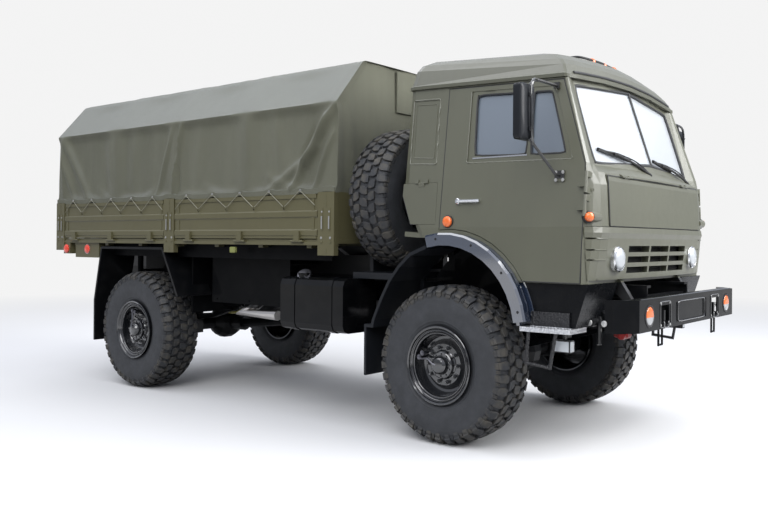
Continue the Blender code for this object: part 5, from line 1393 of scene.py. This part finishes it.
def add_mirror(side, which, body):
    """Shell, glass and stay of a door's mirror, and the bolts of its arms."""
    mirror, face, stay, bolts = Shape(), Shape(), Shape(), Shape()
    shell = ((0.8845, 0.004), (0.8880, -0.003), (0.9400, -0.005), (0.9500, 0.006), (0.9560, 0.040))
    mirror.loft([mirror_ring(x, side, inset) for x, inset in shell])
    mirror.piece(f"mirror_shell_{which}", body, "semi", "trim")
    face.box(at(0.8815, side * MIRROR_Y - 0.078, 2.345), at(0.8852, side * MIRROR_Y + 0.078, 2.695))
    face.piece(f"mirror_glass_{which}", body, "mirror", "glass")
    stay.tube([at(x, side * y, z) for x, y, z in STAY], 0.0105, 10)
    for z in (2.40, 2.64):
        stay.box(at(0.950, side * STAY_Y - 0.016, z - 0.014), at(0.974, side * STAY_Y + 0.016, z + 0.014))
        stay.bolt(at(0.984, side * STAY_Y, z), (1, 0, 0), 0.006, 0.006)
    stay.piece(f"mirror_stay_{which}", body, "gloss", "black_paint")
    for x, z in ((0.992, 2.118), (1.050, 2.118), (0.992, 2.062), (1.050, 2.062)):
        bolts.bolt(at(x, side * 1.1415, z), (0, side, 0), 0.009, 0.008)
    bolts.piece(f"mirror_bolts_{which}", body, "steel", "bright_metal")


def side_trace(tree, outline, side, lift, closed=True, step=0.03):
    """Points along an outline, laid on the cab's side."""
    path = []
    for (x0, z0), (x1, z1) in sides_of(outline, closed):
        count = max(1, round(math.hypot(x1 - x0, z1 - z0) / step))
        for k in range(count):
            x, z = x0 + (x1 - x0) * k / count, z0 + (z1 - z0) * k / count
            spot = onto(tree, at(x, side * 1.34, z), (0, -side, 0), lift)
            if spot is None or abs(abs(spot.y) - skin(z)) > 0.04:
                spot = at(x, side * skin(z, lift), z)
            path.append(spot)
    return path


def rib_path(front, side, z):
    """Points of one pressed rib, which runs from the cab's side round the corner to its front."""
    path = []
    for k in range(10):
        spot = onto(front, at(1.16 + 0.016 * k, side * 1.34, z), (0, -side, 0), 0.001)
        if spot is not None and abs(spot.y) > 1.02:
            path.append(spot)
    for k in range(8):
        spot = onto(front, at(1.6, side * (1.10 - 0.022 * k), z), (-1, 0, 0), 0.001)
        if spot is not None and (not path or abs(spot.y) < abs(path[-1].y) - 0.008):
            path.append(spot)
    return path


def lid_gap_path():
    """Points of the gap round the front lid, at the depth of the skin just inside it."""
    front = surface_of("front_lid", "cab_body", "grille_panel")
    path = []
    for (y0, z0), (y1, z1) in sides_of(LID_GAP):
        count = max(2, round(math.hypot(y1 - y0, z1 - z0) / 0.06))
        for k in range(count):
            y, z = y0 + (y1 - y0) * k / count, z0 + (z1 - z0) * k / count
            spot = onto(front, at(1.7, y * 0.97, z + (LID_MIDDLE_Z - z) * 0.08), (-1, 0, 0), 0.004)
            at_hinge = z > 2.0 and abs(abs(y) - 0.6) < 0.15
            if spot is not None and not at_hinge:
                path.append(Vector((spot.x - 0.008, y, z)))
    return path


def make_cab_lines():
    """Beads and ribs pressed in the cab's skin, its plugs, and dark rubber lines in its gaps, which are
    painted shade of the gaps.
    """
    cab_side = surface_of("cab_body")
    front = surface_of("grille_panel", "cab_body")
    beads, gaps, plugs = Shape(), Shape(), Shape()
    inset = ((0.03, 0.05), (-0.03, 0.05), (-0.03, -0.04), (0.03, -0.04))
    inner = [(x + dx, z + dz) for (x, z), (dx, dz) in zip(PANEL_BEAD, inset)]
    plug_profile = ((-0.004, 0.016), (0.003, 0.015), (0.0035, 0.010), (0.001, 0.0095), (0.001, TIP))
    for side, which in SIDES:
        beads.tube(side_trace(cab_side, PANEL_BEAD, side, 0.001), 0.0065, 6, closed=True, rounds=2)
        beads.tube(side_trace(cab_side, inner, side, 0.0), 0.0045, 6, closed=True, rounds=2)
        # Dark rubber tubes along the gaps: painted shade in the gaps.
        gaps.tube(side_trace(cab_side, DOOR_GAP, side, -0.0015, False), 0.0036, 6, rounds=0)
        gaps.tube(side_trace(cab_side, FLAP_GAP, side, -0.0015), 0.0030, 6, closed=True, rounds=0)
        frame_bead = Shape()
        door = surface_of(f"door_{which}")
        frame_bead.tube(side_trace(door, WINDOW_BEAD, side, 0.0), 0.0055, 6, closed=True, rounds=1)
        frame_bead.piece(f"window_frame_{which}", body_of(f"door_{which}"), "cab", "cab_paint")
        for z in RIB_HEIGHTS:
            beads.tube(rib_path(front, side, z), 0.0055, 6, rounds=1)
        plug = onto(cab_side, at(1.6, side * 1.09, 1.985), (-1, 0, 0))
        if plug is not None:
            plugs.lathe(plug, (0.85, side * 0.5, 0), plug_profile, 18)
    # Dark tube round the front lid: painted shade in its gap.
    gaps.tube(lid_gap_path(), 0.0036, 6, closed=True, rounds=0)
    beads.piece("cab_beads", CAB, "cab", "cab_paint")
    gaps.piece("cab_gap_seals", CAB, "seal", "trim")
    plugs.piece("cab_plugs", CAB, "cab", "cab_paint")


def make_drip_strip():
    """The dark strip over the windshield, and the rim of the roof hatch."""
    roof = surface_of("cab_roof")
    strip = Shape()
    path = []
    for k in range(29):
        y = -0.93 + 1.86 * k / 28
        spot = onto(roof, at(1.8, y, 2.875 + 0.045 * (1 - (y / 0.985) ** 2)), (-1, 0, 0), 0.004)
        if spot is not None:
            path.append(spot)
    strip.tube(path, 0.011, 8, rounds=0)
    rim = []
    corners = ((0.46, -0.34), (0.80, -0.34), (0.80, 0.30), (0.46, 0.30))
    for (x0, y0), (x1, y1) in sides_of(corners):
        for k in range(6):
            x, y = x0 + (x1 - x0) * k / 6, y0 + (y1 - y0) * k / 6
            rim.append(onto(roof, at(x, y, 4.0), (0, 0, -1), 0.016))
    strip.tube(rim, 0.010, 8, closed=True, rounds=1)
    strip.piece("windshield_drip_strip", CAB, "seal", "trim")


def make_bumper_fittings():
    """Indicator lenses with their rings, frames and towing loops on the bumper's face, and its bolts."""
    amber, steel, black, frames = Shape(), Shape(), Shape(), Shape()
    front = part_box("front_bumper")[1].x
    ring = ((-0.004, 0.083), (0.005, 0.081), (0.006, 0.070), (0.0, 0.067))
    cap = ((0, 0.022), (0.008, 0.022), (0.012, 0.012), (0.012, TIP))
    loop = ((0.507, 1.02), (0.512, 0.985), (0.588, 0.985), (0.593, 1.02))
    tow_frame = ((0.447, 0.988), (0.653, 0.988), (0.653, 1.177), (0.447, 1.177))
    middle_frame = ((-0.30, 1.010), (0.30, 1.010), (0.30, 1.165), (-0.30, 1.165))
    for side, _ in SIDES:
        origin = Vector((front - 0.001, side * 0.847, 1.086))
        dome(amber, origin, (1, 0, 0), 0.066, 0.014)
        black.lathe(origin, (1, 0, 0), ring, 32)
        for y in (0.462, 0.638):
            for z in (1.003, 1.162):
                steel.bolt(Vector((front, side * y, z)), (1, 0, 0), 0.007, 0.006)
        steel.lathe(at(1.40, side * 1.171, 1.045), (0, side, 0), cap, 16)
    for side, outline, radius in ((-1, tow_frame, 0.0045), (1, tow_frame, 0.0045), (1, middle_frame, 0.005)):
        path = [Vector((front + 0.001, side * y, z)) for y, z in outline]
        frames.tube(along_sides(path, (0.06, 0.5, 0.94)), radius, 8, closed=True, rounds=2)
    for side, _ in SIDES:
        for y in (loop[0][0], loop[-1][0]):
            frames.rod((front - 0.02, side * y, 1.02), (front + 0.012, side * y, 1.02), 0.011, 12)
        frames.tube([Vector((front + 0.006, side * y, z)) for y, z in loop], 0.007, 8)
    frames.tube([Vector((front - 0.010, y, 1.2075)) for y in (-0.99, 0.0, 0.99)], 0.006, 8, rounds=0)
    frames.piece("bumper_frames", CHASSIS, "gloss", "black_paint")
    amber.piece("bumper_indicators", CHASSIS, "indicator", "lamp_glass")
    steel.piece("bumper_bolts", CHASSIS, "steel", "bright_metal")
    black.piece("bumper_rings", CHASSIS, "plastic", "trim")


def make_filler_cap():
    """The fuel tank's cap on its neck, and its chain."""
    cap = Shape()
    origin = at(-1.62, -1.13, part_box("fuel_tank")[1].z)
    profile = (
        (-0.02, 0.040), (0, 0.040), (0, 0.068), (0.020, 0.070), (0.030, 0.062), (0.030, 0.034),
        (0.040, 0.028), (0.040, TIP),
    )
    cap.lathe(origin - Vector((0, 0, 0.030)), (0.30, -0.66, 0.70), profile, 28)
    loop = ((-0.012, 0), (0, 0.006), (0.012, 0), (0, -0.006))
    for i in range(9):
        sway = 0.02 * math.sin(i / 8 * math.pi)
        link = origin + Vector((0.05 + i * 0.022, -0.05 - sway, -0.03 - 0.006 * i))
        cap.tube([link + Vector((dx, 0, dz)) for dx, dz in loop], 0.0018, 5, closed=True, rounds=1)
    cap.piece("filler_cap", CHASSIS, "dark_metal", "bright_metal")


def make_air_lines():
    """Air and brake lines along the frame and down to the axles."""
    lines = Shape()
    for y in (-0.46, 0.46):
        for z, shift in ((1.10, 0.0), (1.14, 0.012), (1.18, 0.024)):
            path = [at(1.2, y, z), at(-1.9, y * 1.01, z), at(-3.4 - shift, y * 1.01, z), at(-5.2, y, z)]
            lines.tube(path, 0.006, 6, rounds=0)
    # Hoses to the rear and the front axle, as (x, half width, z)
    for side, _ in SIDES:
        for hose in (
            ((-3.95, 0.50, 1.02), (-4.05, 0.72, 0.92), (-4.12, 0.82, 0.74)),
            ((0.12, 0.46, 1.05), (0.10, 0.62, 0.98), (0.05, 0.80, 0.80)),
        ):
            lines.tube([at(x, side * y, z) for x, y, z in hose], 0.010, 7)
    lines.piece("air_lines", CHASSIS, "plastic", "trim")
    yellow = Shape()
    brake_line = ((-3.60, -0.42, 0.80), (-3.42, -0.46, 0.80), (-3.30, -0.44, 0.86), (-3.12, -0.42, 0.90))
    yellow.tube([at(*spot) for spot in brake_line], 0.014, 8)
    yellow.piece("yellow_brake_line", CHASSIS, "yellow", "trim")


def make_steering_gear():
    """The steering gear with its hoses, and the red coupling beside it under the cab."""
    gear, coupling, cap = Shape(), Shape(), Shape()
    gear.box(at(1.06, -0.70, 0.96), at(1.30, -0.54, 1.14))
    gear.rod(at(1.18, -0.62, 1.05), at(1.18, -0.79, 1.05), 0.055, 20)
    gear.tube([at(1.18, -0.80, 1.05), at(1.21, -0.86, 0.97), at(1.23, -0.90, 0.86)], 0.020, 8)
    gear.tube([at(1.30, -0.62, 1.12), at(1.38, -0.72, 1.12), at(1.40, -0.95, 1.08)], 0.012, 8)
    gear.tube([at(1.05, -0.66, 1.00), at(0.90, -0.60, 0.94), at(0.70, -0.56, 0.90)], 0.014, 8)
    gear.rod(at(1.16, -0.92, 1.02), at(1.16, -0.74, 1.02), 0.035, 16)
    gear.piece("steering_gear", CHASSIS, "chassis", "black_paint")
    coupling.rod(at(1.26, -0.60, 0.90), at(1.26, -0.46, 0.90), 0.032, 16)
    coupling.box(at(1.18, -0.56, 0.88), at(1.30, -0.50, 0.99))
    coupling.piece("red_coupling", CHASSIS, "red_paint", "trim")
    cap.lathe(at(1.16, -0.925, 1.02), (0, -1, 0), ((0, 0.024), (0.012, 0.022), (0.016, TIP)), 16)
    cap.piece("steering_cap", CHASSIS, "steel", "bright_metal")


def around_arch(radius, degrees):
    """A place on a circle about the wheel arches' centre, as (x, z)."""
    angle = math.radians(degrees)
    return ARCH_CENTRE[0] + radius * math.cos(angle), ARCH_CENTRE[1] + radius * math.sin(angle)


def make_arch_trim():
    """Bolts on the lips of the front arches, and the studs of the steps."""
    stud = ((0, 0.009), (0.003, 0.007), (0.003, 0.004))
    for side, which in SIDES:
        bolts, studs = Shape(), Shape()
        for turn in (14, 40, 68, 96):
            x, z = around_arch(0.712, turn)
            bolts.bolt(at(x, side * 1.250, z), (0, side, 0), 0.007, 0.004)
        bolts.piece(f"arch_bolts_{which}", CAB, "plastic", "trim")
        for i in range(14):
            for k in range(6):
                x = 0.78 + i * 0.027 + (0.013 if k % 2 else 0.0)
                studs.lathe(at(x, side * (1.01 + k * 0.038), 0.9895), (0, 0, 1), stud, 8)
        studs.piece(f"step_studs_{which}", CAB, "alloy", "bright_metal")


def make_shields():
    """Inner panels of the front arches, and the plates that close the chassis sides."""
    arch = [(0.73, 1.02), *(around_arch(0.69, 8 + 8.5 * k) for k in range(20))]
    arch += [(-0.62, 1.06), (-0.62, 0.98), (0.60, 0.98)]
    for side, which in SIDES:
        liner = Shape()
        liner.loft([[at(x, side * y, z) for x, z in arch] for y in (0.562, 0.568)])
        liner.piece(f"arch_liner_{which}", CAB, "shaded", "black_paint")
    plates = Shape()
    # Plates along the right side: rear x, front x, y, low z and high z
    for rear, front, y, low, high in (
        (-3.18, -2.00, -0.960, 0.965, 1.470), (-3.52, -3.16, -0.62, 0.90, 1.47),
    ):
        plates.box(at(rear, y - 0.003, low), at(front, y + 0.003, high))
        for x in (rear + 0.10, front - 0.10):
            plates.box(at(x - 0.02, y + 0.003, high - 0.10), at(x + 0.02, -0.52, high - 0.06))
    for x in (-3.10, -2.60, -2.08):
        for z in (1.00, 1.43):
            plates.bolt(at(x, -0.963, z), (0, -1, 0), 0.009, 0.007)
    for side, _ in SIDES:
        plates.box(at(-5.06, side * 1.10 - 0.003, 1.43), at(-1.30, side * 1.10 + 0.003, 1.566))
        plates.box(at(-4.92, side * 0.60 - 0.003, 0.98), at(-3.44, side * 0.60 + 0.003, 1.46))
    for y0, y1 in ((-1.02, -0.50), (0.50, 1.02)):
        plates.box(at(-3.46, y0, 0.84), at(-3.435, y1, 1.46))
    plates.piece("side_shields", CHASSIS, "shaded", "black_paint")


def make_reservoirs():
    """Two air reservoirs that lie across the frame, each with two straps."""
    tanks = Shape()
    shell = (
        (0.0, TIP), (0.012, 0.06), (0.04, 0.105), (0.07, 0.118), (0.75, 0.118), (0.78, 0.105), (0.808, 0.06),
        (0.82, TIP),
    )
    strap = ((-0.016, 0.118), (-0.016, 0.1215), (0.016, 0.1215), (0.016, 0.118))
    for x, z in ((-3.30, 0.93), (-4.78, 0.95)):
        tanks.lathe(at(x, -0.41, z), (0, 1, 0), shell, 28)
        for y in (-0.22, 0.22):
            tanks.lathe(at(x, y, z), (0, 1, 0), strap, 28)
    tanks.piece("air_reservoirs", CHASSIS, "chassis", "black_paint")


def cushion_ring(x, y, z, half_x, half_y):
    """A level ring about a place, between an ellipse and an oblong."""
    ring = []
    for i in range(28):
        turn = 2 * math.pi * i / 28
        out, over = (math.copysign(abs(part) ** 0.5, part) for part in (math.cos(turn), math.sin(turn)))
        ring.append(Vector((x + half_x * out, y + half_y * over, z)))
    return ring


def make_seats():
    """Crowned cushions, which stand for the plain seats."""
    levels = 10
    for name in ("seat_driver", "seat_passenger"):
        low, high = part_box(name)
        y = (low.y + high.y) / 2
        shape = Shape()
        # The cushion and the back: their x and z ranges, and how far they lean
        for x0, x1, z0, z1, lean in (
            (low.x + 0.17, high.x, 1.80, 1.925, 0.0), (low.x + 0.03, low.x + 0.155, 1.93, 2.46, -0.22),
        ):
            rings = []
            for k in range(levels + 1):
                share = k / levels
                bulge = math.sin(math.pi * share) ** 0.5 if 0 < share < 1 else 0.0
                z = z0 + (z1 - z0) * share
                x = (x0 + x1) / 2 + lean * (z - z0)
                half_x = (x1 - x0) / 2 * (0.75 + 0.25 * bulge)
                half_y = (high.y - low.y) / 2 * (0.93 + 0.07 * bulge)
                rings.append(cushion_ring(x, y, z, half_x, half_y))
            shape.loft(rings)
        shape.box((low.x + 0.25, low.y + 0.08, 1.70), (high.x - 0.10, high.y - 0.08, 1.81))
        seat = shape.piece(f"{name}_cushions", CAB, "seat", "trim", (name,), 60)


def make_floor():
    """Pale floor that dims the light it throws up, and fades into the sky far off."""
    mesh = bpy.data.meshes.new("floor")
    half = 60.0
    corners = [(-half, -half, 0), (half, -half, 0), (half, half, 0), (-half, half, 0)]
    mesh.from_pydata(corners, [], [(0, 1, 2, 3)])
    ground = bpy.data.objects.new("floor", mesh)
    bpy.context.scene.collection.objects.link(ground)
    made = Finish("pale_floor", (0.86, 0.86, 0.86), 0.85, Specular_IOR_Level=0.0)
    pale = made.mix(made.noise(0.6, 3.0), (0.70, 0.70, 0.70), (0.73, 0.73, 0.73))
    seen = made.rays("Is Camera Ray", "Is Glossy Ray", "Is Transmission Ray")
    x, y, _ = made.axes()
    distance = (x * x + y * y) ** 0.5
    far = made.ramp(distance / 30.0, (0.20, 0.0), (0.62, 1.0))
    sky = SKY_SEEN * SKY_STRENGTH
    black = (0.0, 0.0, 0.0)
    made.colour(made.mix(far, made.mix(seen, (0.14, 0.14, 0.14), pale), black))
    made.put("Emission Color", made.mix(far * seen, black, (sky, sky, sky)))
    made.put("Emission Strength", 1.0)
    mesh.materials.append(made.material)


def make_sky():
    """A bright sky as a light, which the camera and the windows see as one even grey."""
    world = bpy.data.worlds.new("sky")
    bpy.context.scene.world = world
    world.use_nodes = True
    made = Nodes(world.node_tree, "Generated")
    _, _, height = made.axes()
    light = made.ramp(height, (0.0, (0.36, 0.38, 0.42)), (0.70, (1.0, 1.04, 1.16)))
    seen = made.rays("Is Camera Ray", "Is Transmission Ray")
    shader = world.node_tree.nodes["Background"]
    made.feed(shader.inputs["Color"], made.mix(seen, light, (SKY_SEEN, SKY_SEEN, SKY_SEEN)))
    made.feed(shader.inputs["Strength"], SKY_STRENGTH)


def make_lamps():
    """Square soft lamps, each turned to what it looks at."""
    for name, spot, target, width, power in LAMPS:
        light = bpy.data.lights.new(name, "AREA")
        light.size = width
        light.energy = power
        lamp = bpy.data.objects.new(name, light)
        lamp.location = spot
        lamp.rotation_mode = "QUATERNION"
        lamp.rotation_quaternion = (Vector(target) - Vector(spot)).to_track_quat("-Z", "Y")
        bpy.context.scene.collection.objects.link(lamp)


def make_camera():
    """The camera at the photograph's place and angle, and plain display of its colours."""
    data = bpy.data.cameras.new("camera")
    data.lens = CAMERA_LENS
    data.sensor_width = CAMERA_SENSOR
    data.shift_x, data.shift_y = CAMERA_SHIFT
    data.clip_end = CAMERA_REACH
    camera = bpy.data.objects.new("camera", data)
    camera.location = at(*CAMERA_PLACE)
    turn = Matrix.Rotation(CAMERA_TURN, 3, "Z") @ Matrix.Rotation(math.pi / 2 + CAMERA_TILT, 3, "X")
    camera.rotation_euler = (turn @ Matrix.Rotation(CAMERA_ROLL, 3, "Z")).to_euler()
    bpy.context.scene.collection.objects.link(camera)
    bpy.context.scene.camera = camera
    bpy.context.scene.view_settings.view_transform = "Standard"


class TruckOperator:
    """What the operators share: they run their steps and report that they finished."""

    bl_options = {"REGISTER", "UNDO"}

    def execute(self, context):
        for step in self.steps:
            step()
        return {"FINISHED"}


class TRUCK_OT_finishes(TruckOperator, bpy.types.Operator):
    """Make the finishes and give the solids theirs"""

    bl_idname = "truck.finishes"
    bl_label = "Finishes"
    steps = (make_finishes, dress_nodes)


class TRUCK_OT_wheels(TruckOperator, bpy.types.Operator):
    """Make the tyres with their tread, and the rims"""

    bl_idname = "truck.wheels"
    bl_label = "Wheels"
    steps = (make_wheels,)


class TRUCK_OT_tarp(TruckOperator, bpy.types.Operator):
    """Make the tarp with its hem, flap and lacing"""

    bl_idname = "truck.tarp"
    bl_label = "Tarp"
    steps = (make_tarp, make_lacing)


class TRUCK_OT_cargo(TruckOperator, bpy.types.Operator):
    """Make the fittings of the cargo body"""

    bl_idname = "truck.cargo"
    bl_label = "Cargo fittings"
    steps = (make_cargo_fittings,)


class TRUCK_OT_cab(TruckOperator, bpy.types.Operator):
    """Make the cab's glass trim, wipers, lines, lamps, door trim and mirrors"""

    bl_idname = "truck.cab"
    bl_label = "Cab fittings"
    steps = (
        make_windshield_trim, make_wipers, make_cab_lines, make_drip_strip, make_cab_lamps, make_door_lamps,
        make_cab_trim, make_door_trim, make_arch_trim,
    )


class TRUCK_OT_seats(TruckOperator, bpy.types.Operator):
    """Make the padded seats"""

    bl_idname = "truck.seats"
    bl_label = "Seats"
    steps = (make_seats,)


class TRUCK_OT_chassis(TruckOperator, bpy.types.Operator):
    """Make the fittings of the bumper and the chassis"""

    bl_idname = "truck.chassis"
    bl_label = "Chassis fittings"
    steps = (
        make_bumper_fittings, make_filler_cap, make_air_lines, make_steering_gear, make_shields,
        make_reservoirs,
    )


class TRUCK_OT_stage(TruckOperator, bpy.types.Operator):
    """Make the floor, the light and the camera"""

    bl_idname = "truck.stage"
    bl_label = "Stage"
    steps = (make_floor, make_sky, make_lamps, make_camera)


OPERATORS = (
    TRUCK_OT_finishes, TRUCK_OT_wheels, TRUCK_OT_tarp, TRUCK_OT_cargo, TRUCK_OT_cab, TRUCK_OT_seats,
    TRUCK_OT_chassis, TRUCK_OT_stage,
)


class TRUCK_PT_panel(bpy.types.Panel):
    """Shows the truck's sizes, colours and steps in the sidebar"""

    bl_idname = "TRUCK_PT_panel"
    bl_label = "Cargo truck"
    bl_space_type = "VIEW_3D"
    bl_region_type = "UI"
    bl_category = "Truck"

    def draw(self, context):
        for group in (context.scene.truck_sizes, context.scene.truck_colours):
            for key in group.bl_rna.properties.keys():
                if key not in ("rna_type", "name"):
                    self.layout.prop(group, key)
        for operator in OPERATORS:
            self.layout.operator(operator.bl_idname)


CLASSES = (TruckSizes, TruckColours, *OPERATORS, TRUCK_PT_panel)


def register():
    for item in CLASSES:
        bpy.utils.register_class(item)
    bpy.types.Scene.truck_sizes = bpy.props.PointerProperty(type=TruckSizes)
    bpy.types.Scene.truck_colours = bpy.props.PointerProperty(type=TruckColours)


def unregister():
    del bpy.types.Scene.truck_colours
    del bpy.types.Scene.truck_sizes
    for item in reversed(CLASSES):
        bpy.utils.unregister_class(item)


def main():
    register()
    for operator in OPERATORS:
        group, name = operator.bl_idname.split(".")
        getattr(getattr(bpy.ops, group), name)()


if __name__ == "__main__":
    main()
